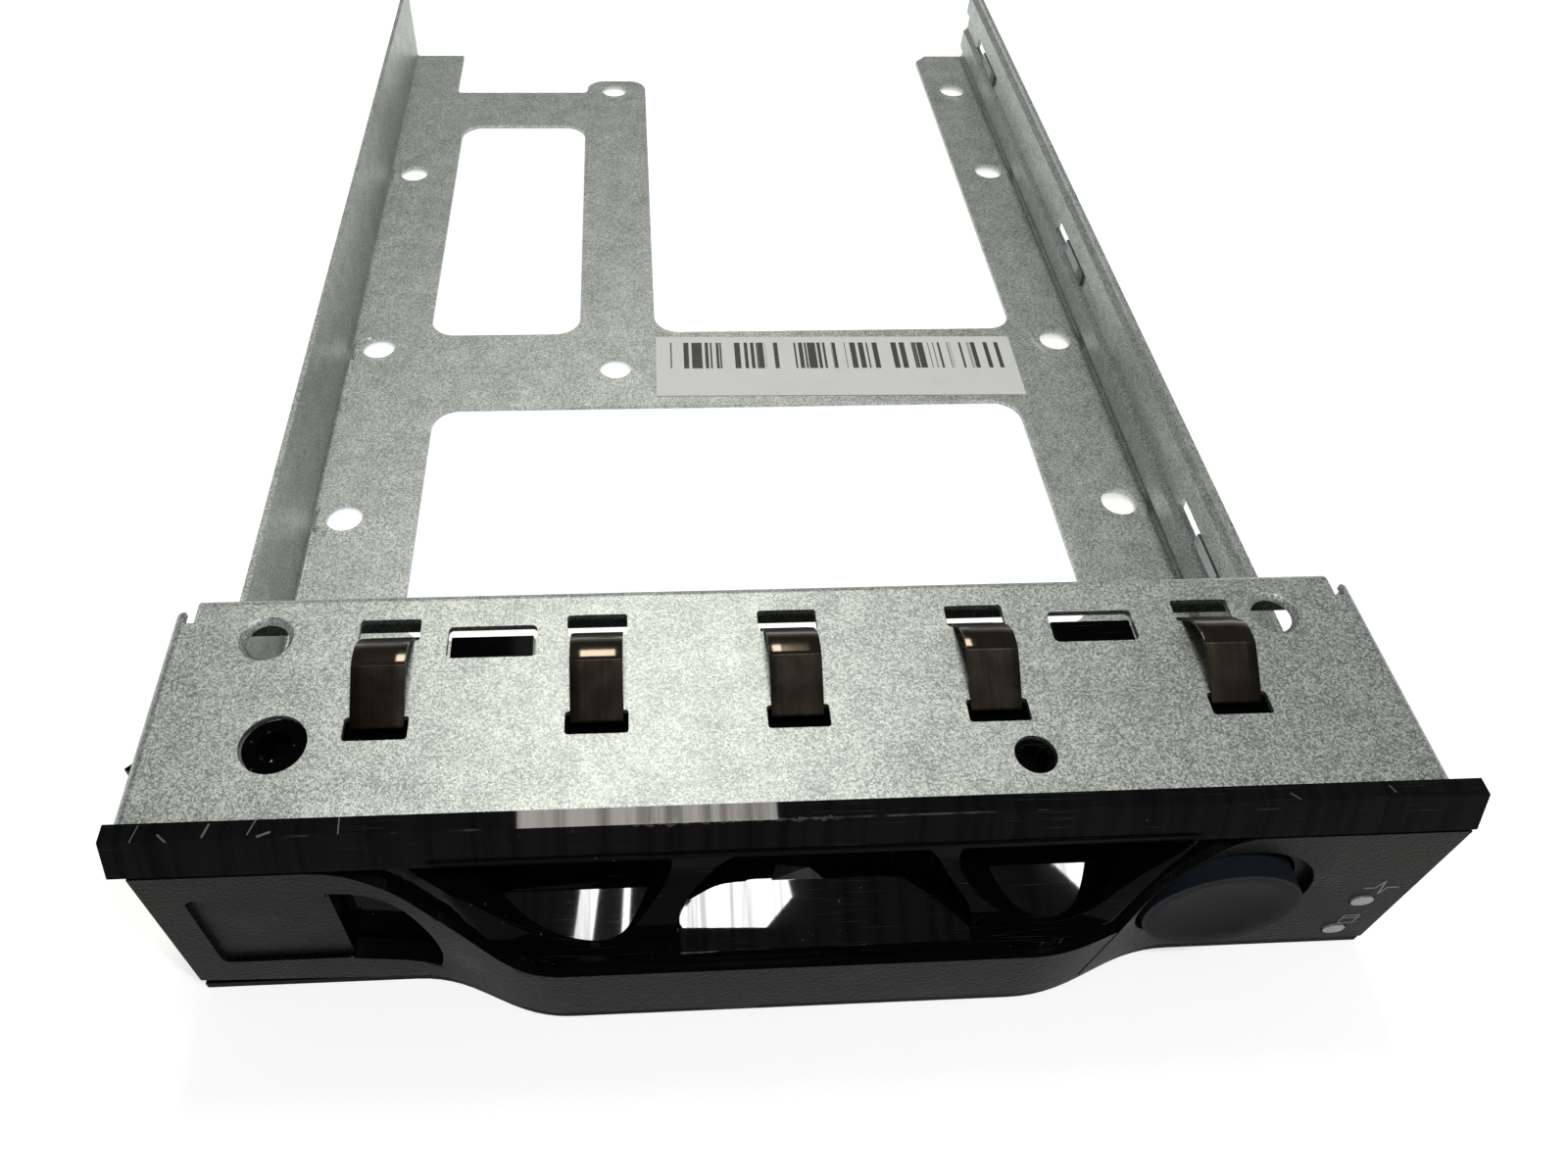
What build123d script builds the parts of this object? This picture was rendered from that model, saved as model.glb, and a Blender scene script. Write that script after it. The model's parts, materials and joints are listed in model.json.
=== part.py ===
"""Hot swap drive caddy for a 3.5 inch disk, with a front ejector lever.

Millimetres, X to the right, Y to the rear, Z up. The origin is the centre of
the rectangle of disk screw holes, on the underside of the tray floor.
"""
from build123d import *
import math
import os

os.makedirs("parts", exist_ok=True)

# Standard disk hole patterns, on which everything else is placed
DISK_HOLE_SPAN_X = 95.25
DISK_HOLE_SPAN_Y = 76.2
DISK_MIDDLE_HOLE_Y = -6.35
SMALL_DISK_HOLE_X = -14.95
SMALL_DISK_SPAN_X = 61.72
SMALL_DISK_SPAN_Y = 76.6
SMALL_DISK_REAR_Y = 65.38
DISK_HALF_WIDTH = 50.8

# Sheet metal of the tray and the front bracket
SHEET = 0.6
WALL_INNER_X = 51.5
WALL_HEIGHT = 13.5
BRACKET_FRONT_Y = -90.12
TRAY_LENGTH = 169.4
TRAY_REAR_Y = BRACKET_FRONT_Y + TRAY_LENGTH
BEND_OUTER = 1.0
BEND_INNER = 0.4
WALL_OUTER_X = WALL_INNER_X + SHEET
FLANGE_OUTER_X = WALL_OUTER_X + SHEET

# Stiffening beads of the right wall, which hold the light pipes outside
BEAD_DEPTH = 0.65
BEAD_HEIGHT = 3.8
LOWER_BEAD_Z = 2.2
UPPER_BEAD_Z = 8.8
PIPE_HEIGHT = 2.2
PIPE_DEPTH = 1.2
LUG_STATIONS = (37.0, 94.5, 152.0)
LUG_LENGTH = 8.0
LUG_SLOT_EXTRA = 5.0
LUG_SLOT_Z = (6.3, 8.5)

# Floor of the tray, distances from the bracket's front edge
FLOOR_FRONT = 3.4
WALL_FRONT = 1.8
EAR_LENGTH = 19.0
REAR_CHAMFER = 2.0
CUT_MARGIN = 6.0
FRONT_WINDOW = (-39.0, 39.4, 33.5, 71.6)
LEFT_WINDOW = (-41.0, -20.0, 86.8, 144.1)
REAR_OPENING = (-9.4, 42.3, 87.0)
REAR_STEP = 155.5
LEFT_TAB_X = -43.0
HOLE_TAB = (-19.8, -9.4, 159.7)
WINDOW_RADIUS = 3.5
DIMPLE_RADIUS = 4.1
DIMPLE_RISE = 0.45
DISK_SCREW_HOLE = 4.4

# Front bracket
BRACKET_TOP_Z = 24.6
BRACKET_SIDE_LENGTH = 19.4
BRACKET_LENGTH = 20.95
BRACKET_OVERHANG = 1.0
LIP_INSET = 1.3
LIP_HALF_WIDTH = WALL_OUTER_X - LIP_INSET
LIP_HEIGHT = 5.0
FLANGE_BOTTOM_Z = 13.2
EAR_TOP_Z = 23.4
CLIP_X = (-33.9, -16.1, 0.5, 17.2, 37.8)
CLIP_WIDTH = 5.0
CLIP_THICKNESS = 0.25
CLIP_SLOT_CLEARANCE = 0.1
CLIP_FRONT_SLOT = (5.9, 8.1)
CLIP_REAR_SLOT = (15.7, 18.0)
CORNER_HOLE = (44.3, 16.35)
CORNER_HOLE_DIAMETER = 3.5
BOSS_HOLE = (-41.8, 5.8)
BOSS_HOLE_DIAMETER = 5.4
MIDDLE_HOLE = (19.3, 2.7)
MIDDLE_HOLE_DIAMETER = 3.5
HOOK_SLOTS = ((-25.1, 15.4), (27.5, 15.4))
HOOK_SLOT_LENGTH = 7.6
HOOK_SLOT_WIDTH = 3.3

# Plan of the moulded front, distances from the bracket's front edge
PANEL_FACE = -3.9
GRIP_FACE = -7.8
LEFT_SWEEP = (-33.0, -19.0)
RIGHT_SWEEP = (20.0, 36.0)
PANEL_LEFT_X = -51.6
PANEL_RIGHT_X = 54.2
LEVER_THICKNESS = 1.9
PANEL_THICKNESS = 1.6
BACK_WALL = (-1.8, -0.4)
RIGHT_BACK_WALL_FRONT = PANEL_FACE + PANEL_THICKNESS

# Heights of the moulded front
SILL_TOP_Z = 0.9
PANEL_BOTTOM_Z = 1.1
PANEL_TOP_Z = 21.6
BAR_BOTTOM_Z = 21.9
BAR_TOP_Z = 25.2
BAR_LEFT_X = -52.9
BAR_RIGHT_X = 54.4
BAR_FRONT = -3.9
BAR_CREST = -2.6
BAR_REAR = -1.1
REACH_X = BAR_RIGHT_X + CUT_MARGIN
REACH_Y = GRIP_FACE - CUT_MARGIN
GRIP_TOP_Z = 9.2
RIM_TOP_Z = 10.5
RIM_DEPTH = 2.35
RIM_INSET = 0.8
SCOOP_FLOOR_Z = 9.9
SCOOP_FLOOR_THICKNESS = 1.2
SEAM_GAP = 0.3
PANEL_SEAM = 0.12

# Ejector lever
HINGE_X = -48.4
HINGE_Y = -0.4
HINGE_PIN_RADIUS = 1.0
HINGE_RUNNING_GAP = 0.05
HUB_RADIUS = 2.6
TOOTH_Z = (15.6, 19.6)
TOOTH_SLOT = (4.5, 11.5)
TOOTH_SLOT_GAP = 0.7
LABEL_RECESS = (-48.6, -37.4, 5.6, 17.6)
LABEL_RECESS_DEPTH = 0.5
FINGER_POCKET_CURVE = ((-37.6, 18.0), (-33.6, 16.7), (-30.9, 11.8), (-29.9, 7.3), (-30.4, 3.6))
FINGER_POCKET_FOOT = ((-30.4, 3.6), (-33.5, 4.6), (-37.6, 5.4), (-37.6, 18.0))

# Release button, its panel and the latch
BUTTON_X = 36.5
BUTTON_Z = 11.5
BUTTON_RADIUS = 6.6
BUTTON_FACE = -5.4
BUTTON_GAP = 0.3
BUTTON_TRAVEL = 2.0
RECESS_CENTRE = (BUTTON_X + 0.5, BUTTON_Z + 0.1)
RECESS_RADIUS = 7.6
LENS_X = 50.6
UPPER_LENS_Z = 9.2
LOWER_LENS_Z = 3.3
LENS_SIZE = (2.0, 1.6)
LATCH_PIN_X = 25.4
LATCH_PIN_Y = 8.4
LATCH_Z = (3.6, 7.4)
LATCH_PIN_RADIUS = 1.0

# Identification label on the floor
LABEL_SIZE = (50.4, 12.4, 0.1)
LABEL_CENTRE = (15.8, 79.2)
LABEL_TURN = -0.9


def station(distance):
    """Y of a point that lies this far behind the bracket's front edge."""
    return BRACKET_FRONT_Y + distance


def front_plan(left, right, inset, back):
    """Closed plan of the moulded front: its swept face, moved in, and a straight back."""
    side_y = station(PANEL_FACE + inset)
    grip_y = station(GRIP_FACE + inset)
    back_y = station(back)
    Line((left, back_y), (left, side_y))
    Line((left, side_y), (LEFT_SWEEP[0], side_y))
    Spline((LEFT_SWEEP[0], side_y), (LEFT_SWEEP[1], grip_y), tangents=((1, 0), (1, 0)))
    Line((LEFT_SWEEP[1], grip_y), (RIGHT_SWEEP[0], grip_y))
    Spline((RIGHT_SWEEP[0], grip_y), (RIGHT_SWEEP[1], side_y), tangents=((1, 0), (1, 0)))
    Line((RIGHT_SWEEP[1], side_y), (right, side_y))
    Line((right, side_y), (right, back_y))
    Line((right, back_y), (left, back_y))


def front_skin(left, right, thickness):
    """Closed plan of a shell that follows the swept face of the moulded front."""
    side_y = station(PANEL_FACE)
    grip_y = station(GRIP_FACE)
    Line((left, side_y + thickness), (left, side_y))
    Line((left, side_y), (LEFT_SWEEP[0], side_y))
    Spline((LEFT_SWEEP[0], side_y), (LEFT_SWEEP[1], grip_y), tangents=((1, 0), (1, 0)))
    Line((LEFT_SWEEP[1], grip_y), (RIGHT_SWEEP[0], grip_y))
    Spline((RIGHT_SWEEP[0], grip_y), (RIGHT_SWEEP[1], side_y), tangents=((1, 0), (1, 0)))
    Line((RIGHT_SWEEP[1], side_y), (right, side_y))
    Line((right, side_y), (right, side_y + thickness))
    Line((right, side_y + thickness), (RIGHT_SWEEP[1], side_y + thickness))
    Spline((RIGHT_SWEEP[1], side_y + thickness), (RIGHT_SWEEP[0], grip_y + thickness),
           tangents=((-1, 0), (-1, 0)))
    Line((RIGHT_SWEEP[0], grip_y + thickness), (LEFT_SWEEP[1], grip_y + thickness))
    Spline((LEFT_SWEEP[1], grip_y + thickness), (LEFT_SWEEP[0], side_y + thickness),
           tangents=((-1, 0), (-1, 0)))
    Line((LEFT_SWEEP[0], side_y + thickness), (left, side_y + thickness))


def lever_front(gap=0.0):
    """Closed front view of the lever, grown all round by the gap."""
    left, bottom, top = PANEL_LEFT_X - gap, PANEL_BOTTOM_Z - gap, PANEL_TOP_Z + gap
    grip_top = GRIP_TOP_Z + gap
    end_top = (28.2 + gap, 8.8 + 0.8 * gap)
    slant = 0.7 * gap
    Polyline(end_top, (26.3 + gap, bottom), (-36.0, bottom), (left, bottom + 0.8), (left, top),
             (-38.5 + slant, top))
    Spline(end_top, (20.5, grip_top), tangents=((-1, 0.3), (-1, 0)))
    Line((20.5, grip_top), (-21.5, grip_top))
    Spline((-21.5, grip_top), (-26.0 + slant, 10.9 + slant), (-29.6 + slant, 13.9 + slant),
           (-32.4 + slant, 17.8 + slant), (-34.8 + slant, 20.3 + slant), (-38.5 + slant, top),
           tangents=((-1, 0), (-1, 0.1)))


def right_panel_front(gap=0.0):
    """Closed front view of the right panel, grown all round by the gap."""
    bottom, top = PANEL_BOTTOM_Z - gap, PANEL_TOP_Z + gap
    Polyline((28.5 - gap, 8.8), (26.6 - gap, bottom), (PANEL_RIGHT_X + gap, bottom),
             (PANEL_RIGHT_X + gap, top), (37.4, top))
    Spline((37.4, top), (33.2 - gap, 18.9 + gap), (30.2 - gap, 15.3), (28.5 - gap, 8.8),
           tangents=((-1, 0), (-0.2, -1)))


# Tray: floor, both walls and the taller front ears, folded from one sheet
bevel = SHEET * math.tan(math.radians(22.5))


def bead(bottom, shift, grow):
    """Corner points of one wall bead; shift is the sheet side, grow the bend allowance."""
    top = bottom + BEAD_HEIGHT
    outer = WALL_OUTER_X - shift
    return [(outer, bottom - grow), (outer - BEAD_DEPTH, bottom + BEAD_DEPTH - grow),
            (outer - BEAD_DEPTH, top - BEAD_DEPTH + grow), (outer, top + grow)]


outer_side = bead(LOWER_BEAD_Z, 0, 0) + bead(UPPER_BEAD_Z, 0, 0)
inner_side = bead(LOWER_BEAD_Z, SHEET, bevel) + bead(UPPER_BEAD_Z, SHEET, bevel)

tray_length = TRAY_REAR_Y - station(WALL_FRONT)
with BuildPart() as tray:
    with BuildSketch(Plane.XZ.offset(-TRAY_REAR_Y)) as section:
        with BuildLine():
            Polyline((-WALL_OUTER_X, WALL_HEIGHT), (-WALL_OUTER_X, 0), (WALL_OUTER_X, 0),
                     *outer_side, (WALL_OUTER_X, WALL_HEIGHT), (WALL_INNER_X, WALL_HEIGHT),
                     *reversed(inner_side), (WALL_INNER_X, SHEET), (-WALL_INNER_X, SHEET),
                     (-WALL_INNER_X, WALL_HEIGHT), close=True)
        make_face()
        fillet(section.vertices().group_by(Axis.Y)[0], BEND_OUTER)
        fillet(section.vertices().filter_by_position(Axis.Y, SHEET - 0.01, SHEET + 0.01)
               .filter_by(lambda v: abs(v.X) < WALL_INNER_X + 0.01), BEND_INNER)
    extrude(amount=tray_length)
    # ears that carry the front bracket
    for side in (-1, 1):
        with BuildSketch(Plane.XY.offset(WALL_HEIGHT - 0.8)):
            with Locations((side * (WALL_INNER_X + SHEET / 2), station((WALL_FRONT + EAR_LENGTH) / 2))):
                Rectangle(SHEET, EAR_LENGTH - WALL_FRONT)
        extrude(amount=EAR_TOP_Z - WALL_HEIGHT + 0.8)
    # windows, the rear opening and the stepped rear edge
    with BuildSketch(Plane.XY.offset(-1)):
        for x0, x1, y0, y1 in (FRONT_WINDOW, LEFT_WINDOW):
            with Locations(((x0 + x1) / 2, station((y0 + y1) / 2))):
                RectangleRounded(x1 - x0, y1 - y0, WINDOW_RADIUS)
    extrude(amount=1 + SHEET + 0.5, mode=Mode.SUBTRACT)
    with BuildSketch(Plane.XY.offset(-1)) as rear_cut:
        with BuildLine():
            x0, x1, y0 = REAR_OPENING
            t0, t1, tab_rear = HOLE_TAB
            Polyline((x0, station(y0)), (x1, station(y0)), (x1, station(TRAY_LENGTH - REAR_CHAMFER)),
                     (x1 + REAR_CHAMFER + CUT_MARGIN, station(TRAY_LENGTH + CUT_MARGIN)),
                     (LEFT_TAB_X, station(TRAY_LENGTH + CUT_MARGIN)),
                     (LEFT_TAB_X, station(REAR_STEP)), (t0, station(REAR_STEP)),
                     (t0, station(tab_rear)), (x0, station(tab_rear)), close=True)
        make_face()
        fillet(rear_cut.vertices().group_by(Axis.Y)[0], WINDOW_RADIUS)
        fillet(rear_cut.vertices().filter_by_position(Axis.Y, station(tab_rear) - 0.01,
                                                      station(tab_rear) + 0.01), 3.0)
        fillet(rear_cut.vertices().filter_by_position(Axis.Y, station(REAR_STEP) - 0.01,
                                                      station(REAR_STEP) + 0.01), 0.8)
    extrude(amount=1 + SHEET + 0.5, mode=Mode.SUBTRACT)
    # the floor stops short of the moulded front
    with BuildSketch(Plane.XY.offset(-1)):
        with Locations((0, station(FLOOR_FRONT - 5))):
            Rectangle(2 * WALL_INNER_X, 10)
    extrude(amount=1 + SHEET + 0.5, mode=Mode.SUBTRACT)
    # raised screw dimples
    disk_holes = [(sx * DISK_HOLE_SPAN_X / 2, y) for sx in (-1, 1)
                  for y in (-DISK_HOLE_SPAN_Y / 2, DISK_MIDDLE_HOLE_Y, DISK_HOLE_SPAN_Y / 2)]
    small_holes = [(SMALL_DISK_HOLE_X, SMALL_DISK_REAR_Y - SMALL_DISK_SPAN_Y),
                   (SMALL_DISK_HOLE_X, SMALL_DISK_REAR_Y),
                   (SMALL_DISK_HOLE_X + SMALL_DISK_SPAN_X, SMALL_DISK_REAR_Y)]
    for x, y in disk_holes + small_holes:
        with Locations((x, y, SHEET - 0.05)):
            Cone(DIMPLE_RADIUS, DIMPLE_RADIUS - 0.9, DIMPLE_RISE + 0.05,
                 align=(Align.CENTER, Align.CENTER, Align.MIN))
        with Locations((x, y, -0.05)):
            Cone(DIMPLE_RADIUS - 0.3, DISK_SCREW_HOLE / 2, DIMPLE_RISE + 0.05,
                 align=(Align.CENTER, Align.CENTER, Align.MIN), mode=Mode.SUBTRACT)
        with Locations((x, y, 0)):
            Cylinder(DISK_SCREW_HOLE / 2, 4, mode=Mode.SUBTRACT)
    # slots in the right wall for the lugs of the light pipe
    for distance in LUG_STATIONS:
        slot_z = sum(LUG_SLOT_Z) / 2
        slot_y = station(distance + LUG_SLOT_EXTRA / 2)
        with BuildSketch(Plane.YZ.offset(WALL_INNER_X - 1)):
            with Locations((slot_y, slot_z)):
                Rectangle(LUG_LENGTH + LUG_SLOT_EXTRA, LUG_SLOT_Z[1] - LUG_SLOT_Z[0])
        extrude(amount=3, mode=Mode.SUBTRACT)
    # slot in the left ear for the lever's tooth
    with BuildSketch(Plane.YZ.offset(-WALL_OUTER_X - 1)):
        with Locations((station(sum(TOOTH_SLOT) / 2), sum(TOOTH_Z) / 2)):
            Rectangle(TOOTH_SLOT[1] - TOOTH_SLOT[0], TOOTH_Z[1] - TOOTH_Z[0] + 2 * TOOTH_SLOT_GAP)
    extrude(amount=3, mode=Mode.SUBTRACT)
tray.part.label = "tray"
export_step(tray.part, "parts/tray.step")

# Front bracket: top plate, side flanges outside the ears, and a rear lip
bracket_front = station(-BRACKET_OVERHANG)
plate_bottom = BRACKET_TOP_Z - SHEET
with BuildPart() as front_bracket:
    with BuildSketch(Plane.XZ.offset(-station(BRACKET_SIDE_LENGTH))) as fold:
        with BuildLine():
            Polyline((-FLANGE_OUTER_X, FLANGE_BOTTOM_Z), (-FLANGE_OUTER_X, BRACKET_TOP_Z),
                     (FLANGE_OUTER_X, BRACKET_TOP_Z), (FLANGE_OUTER_X, FLANGE_BOTTOM_Z),
                     (WALL_OUTER_X, FLANGE_BOTTOM_Z), (WALL_OUTER_X, plate_bottom),
                     (-WALL_OUTER_X, plate_bottom), (-WALL_OUTER_X, FLANGE_BOTTOM_Z), close=True)
        make_face()
        fillet(fold.vertices().group_by(Axis.Y)[-1], BEND_OUTER)
        fillet(fold.vertices().filter_by_position(Axis.Y, plate_bottom - 0.01,
                                                  plate_bottom + 0.01), BEND_INNER)
    extrude(amount=BRACKET_SIDE_LENGTH + BRACKET_OVERHANG)
    with BuildSketch(Plane.YZ.offset(-LIP_HALF_WIDTH)) as lip:
        with BuildLine():
            Polyline((station(17.0), BRACKET_TOP_Z), (station(BRACKET_LENGTH), BRACKET_TOP_Z),
                     (station(BRACKET_LENGTH), BRACKET_TOP_Z - LIP_HEIGHT),
                     (station(BRACKET_LENGTH) - SHEET, BRACKET_TOP_Z - LIP_HEIGHT),
                     (station(BRACKET_LENGTH) - SHEET, plate_bottom),
                     (station(17.0), plate_bottom), close=True)
        make_face()
        fillet(lip.vertices().group_by(Axis.X)[-1].sort_by(Axis.Y)[-1], BEND_OUTER)
        fillet(lip.vertices().filter_by_position(Axis.Y, plate_bottom - 0.01, plate_bottom + 0.01)
               .sort_by(Axis.X)[-1], BEND_INNER)
    extrude(amount=2 * LIP_HALF_WIDTH)
    with BuildSketch(Plane.XY.offset(plate_bottom - 3)):
        # bend reliefs at the rear corners
        for side in (-1, 1):
            with Locations((side * (LIP_HALF_WIDTH + 0.45), station(BRACKET_SIDE_LENGTH - 0.3))):
                Rectangle(0.9, 1.8)
        # slots that hold the spring clips
        for x in CLIP_X:
            for y0, y1 in (CLIP_FRONT_SLOT, CLIP_REAR_SLOT):
                with Locations((x, station((y0 + y1) / 2))):
                    RectangleRounded(CLIP_WIDTH + 2 * CLIP_SLOT_CLEARANCE, y1 - y0, 0.3)
        for x, y in HOOK_SLOTS:
            with Locations((x, station(y))):
                RectangleRounded(HOOK_SLOT_LENGTH, HOOK_SLOT_WIDTH, 0.5)
        with Locations((BOSS_HOLE[0], station(BOSS_HOLE[1]))):
            Circle(BOSS_HOLE_DIAMETER / 2)
        with Locations((MIDDLE_HOLE[0], station(MIDDLE_HOLE[1]))):
            Circle(MIDDLE_HOLE_DIAMETER / 2)
    extrude(amount=6, mode=Mode.SUBTRACT)
    for side in (-1, 1):
        with Locations((side * CORNER_HOLE[0], station(CORNER_HOLE[1]), BRACKET_TOP_Z)):
            CounterSinkHole(CORNER_HOLE_DIAMETER / 2, CORNER_HOLE_DIAMETER / 2 + 0.55, depth=2)
    with BuildSketch(Plane.YZ.offset(-FLANGE_OUTER_X - 1)):
        with Locations((station(sum(TOOTH_SLOT) / 2), sum(TOOTH_Z) / 2)):
            Rectangle(TOOTH_SLOT[1] - TOOTH_SLOT[0], TOOTH_Z[1] - TOOTH_Z[0] + 2 * TOOTH_SLOT_GAP)
    extrude(amount=2.5, mode=Mode.SUBTRACT)
    for side in (-1, 1):
        with BuildSketch(Plane.YZ.offset(side * FLANGE_OUTER_X - 1.5)):
            # the flange clears the swing of the lever's corner
            with Locations((station(-BRACKET_OVERHANG + (BRACKET_OVERHANG + WALL_FRONT) / 2),
                            FLANGE_BOTTOM_Z + (plate_bottom - FLANGE_BOTTOM_Z) / 2 - 0.5)):
                Rectangle(BRACKET_OVERHANG + WALL_FRONT, plate_bottom - FLANGE_BOTTOM_Z)
        extrude(amount=3, mode=Mode.SUBTRACT)
front_bracket.part.label = "front_bracket"
export_step(front_bracket.part, "parts/front_bracket.step")

# Rivets that join the bracket's flanges to the ears of the tray
RIVET_POINTS = ((15.8, 15.8), (15.8, 21.0))
RIVET_HEAD_RADIUS = 1.5
RIVET_HEAD_HEIGHT = 0.35
RIVET_SHANK_RADIUS = 0.9
with BuildPart() as bracket_rivets:
    for side in (-1, 1):
        for y, z in RIVET_POINTS:
            head_plane = Plane(origin=(side * WALL_INNER_X, station(y), z), z_dir=(side, 0, 0))
            with BuildSketch(head_plane.offset(2 * SHEET)):
                Circle(RIVET_HEAD_RADIUS)
            extrude(amount=RIVET_HEAD_HEIGHT)
            with BuildSketch(head_plane.offset(-RIVET_HEAD_HEIGHT)):
                Circle(RIVET_HEAD_RADIUS)
            extrude(amount=RIVET_HEAD_HEIGHT)
bracket_rivets.part.label = "bracket_rivets"
export_step(bracket_rivets.part, "parts/bracket_rivets.step")

# Spring clips that touch the shelf above: bent strips hooked into their slots
clip_line = ((5.0, 23.78), (6.7, 23.86), (7.35, 24.5), (9.3, 26.1), (11.2, 26.8),
             (12.7, 26.35), (15.2, 25.05), (16.25, 24.35), (16.75, 23.6))
for number, clip_x in enumerate(CLIP_X, start=1):
    with BuildPart() as clip:
        with BuildSketch(Plane.YZ.offset(clip_x - CLIP_WIDTH / 2)):
            with BuildLine() as strip:
                Spline([(station(y), z) for y, z in clip_line])
            trace(line_width=CLIP_THICKNESS)
        extrude(amount=CLIP_WIDTH)
    clip.part.label = f"emi_spring_{number}"
    export_step(clip.part, f"parts/emi_spring_{number}.step")

# Moulded fascia
SCOOPS = (
    ((-31.0, 22.4), (-30.0, 19.4), (-26.4, 16.6), (-23.0, 13.0), (-19.6, 10.9), (-16.9, 10.3),
     (-14.6, 10.9), (-13.2, 12.9), (-11.7, 16.1), (-10.6, 19.0), (-10.4, 22.4)),
    ((-9.6, 10.3), (-9.6, 14.5), (-7.6, 19.0), (-5.0, 22.4), (9.5, 22.4), (12.0, 18.0),
     (14.0, 14.5), (15.0, 10.3)),
    ((12.6, 22.4), (12.8, 19.0), (13.8, 16.8), (15.9, 13.9), (18.2, 11.8), (20.8, 10.6),
     (23.4, 11.0), (26.2, 14.0), (28.6, 17.5), (31.1, 20.4), (32.0, 22.4)),
)
SCOOP_PLANS = (
    ((-31.5, -4.2), (-29.2, -1.8), (-26.5, -0.5), (-22.0, -0.2), (-17.0, -0.2), (-12.5, -0.3),
     (-8.8, -0.9)),
    ((-9.7, -3.4), (-9.3, -2.3), (-8.1, -1.4), (-6.3, -0.5), (-4.0, -0.2), (0.0, -0.2),
     (5.0, -0.2), (9.0, -0.3), (12.0, -1.2), (13.9, -2.4), (15.2, -4.2)),
    ((11.8, -3.4), (13.6, -1.6), (16.0, -0.2), (19.0, 0.5), (22.0, 0.6), (25.5, 0.4),
     (28.0, -0.9), (30.5, -2.9), (32.5, -4.2)),
)
POCKETS = (
    ((-28.8, -0.2), (-26.1, -1.8), (-22.9, -3.7), (-19.8, -4.8), (-16.9, -5.2), (-14.3, -4.9),
     (-13.0, -3.9), (-11.6, -2.0), (-10.3, -0.2)),
    ((16.4, 0.6), (17.2, -1.6), (18.3, -3.4), (20.3, -4.6), (23.6, -4.8), (26.0, -3.9),
     (27.4, -2.0), (27.6, 0.6)),
)
SCOOP_BACKING = (-31.0, 28.6, 1.6)
HOOK_TONGUE_Z = (22.4, 24.0)
HOOK_WIDTH = 7.0
HOOK_RISE = 0.35
BOSS_RADIUS = 2.5
BOSS_BORE_RADIUS = 1.4
LATCH_SHELF = (21.5, 43.5, 12.0)
LATCH_SHELF_TOP_Z = 2.0
CATCH_WINDOW = (21.6, 31.0, 3.0, 8.0)
LAMP_POCKET = (49.2, 2.3, 12.0)
HUB_EAR_RADIUS = 3.2

# Space in front of the lever's back, within the lever's outline and the seam round it
with BuildPart() as lever_room:
    with BuildSketch(Plane.XY.offset(SILL_TOP_Z)):
        with BuildLine():
            front_plan(-REACH_X, REACH_X, LEVER_THICKNESS + SEAM_GAP, REACH_Y)
        make_face()
    extrude(amount=BAR_BOTTOM_Z - SILL_TOP_Z)
    with BuildSketch(Plane.XZ.offset(-station(0))):
        with BuildLine():
            lever_front(SEAM_GAP)
        make_face()
    extrude(amount=16, mode=Mode.INTERSECT)

# Space of the right panel
with BuildPart() as panel_room:
    with BuildSketch(Plane.XY.offset(SILL_TOP_Z)):
        with BuildLine():
            front_plan(-REACH_X, REACH_X, PANEL_THICKNESS, REACH_Y)
        make_face()
    extrude(amount=BAR_BOTTOM_Z - SILL_TOP_Z)
    with BuildSketch(Plane.XZ.offset(-station(0))):
        with BuildLine():
            right_panel_front(PANEL_SEAM)
        make_face()
    extrude(amount=16, mode=Mode.INTERSECT)

# Three hollows between the top bar and the grip rim
with BuildPart() as scoops:
    for outline, depth_line in zip(SCOOPS, SCOOP_PLANS):
        with BuildSketch(Plane.XZ.offset(-station(0))):
            with BuildLine():
                Spline(outline)
                Line(outline[-1], outline[0])
            make_face()
        extrude(amount=14)
with BuildPart() as scoop_depth:
    for outline, depth_line in zip(SCOOPS, SCOOP_PLANS):
        with BuildSketch(Plane.XY.offset(SCOOP_FLOOR_Z)):
            with BuildLine():
                deep = [(x, station(y)) for x, y in depth_line]
                if len(deep) > 2:
                    Spline(deep)
                else:
                    Line(*deep)
                Polyline(deep[-1], (deep[-1][0], station(REACH_Y)),
                         (deep[0][0], station(REACH_Y)), deep[0])
            make_face()
        extrude(amount=BAR_BOTTOM_Z - SCOOP_FLOOR_Z)
with BuildPart() as pockets:
    for outline in POCKETS:
        with BuildSketch(Plane.XY.offset(SCOOP_FLOOR_Z)):
            with BuildLine():
                edge = [(x, station(y)) for x, y in outline]
                Spline(edge)
                Line(edge[-1], edge[0])
            make_face()
        extrude(amount=BAR_BOTTOM_Z - SCOOP_FLOOR_Z)

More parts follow.
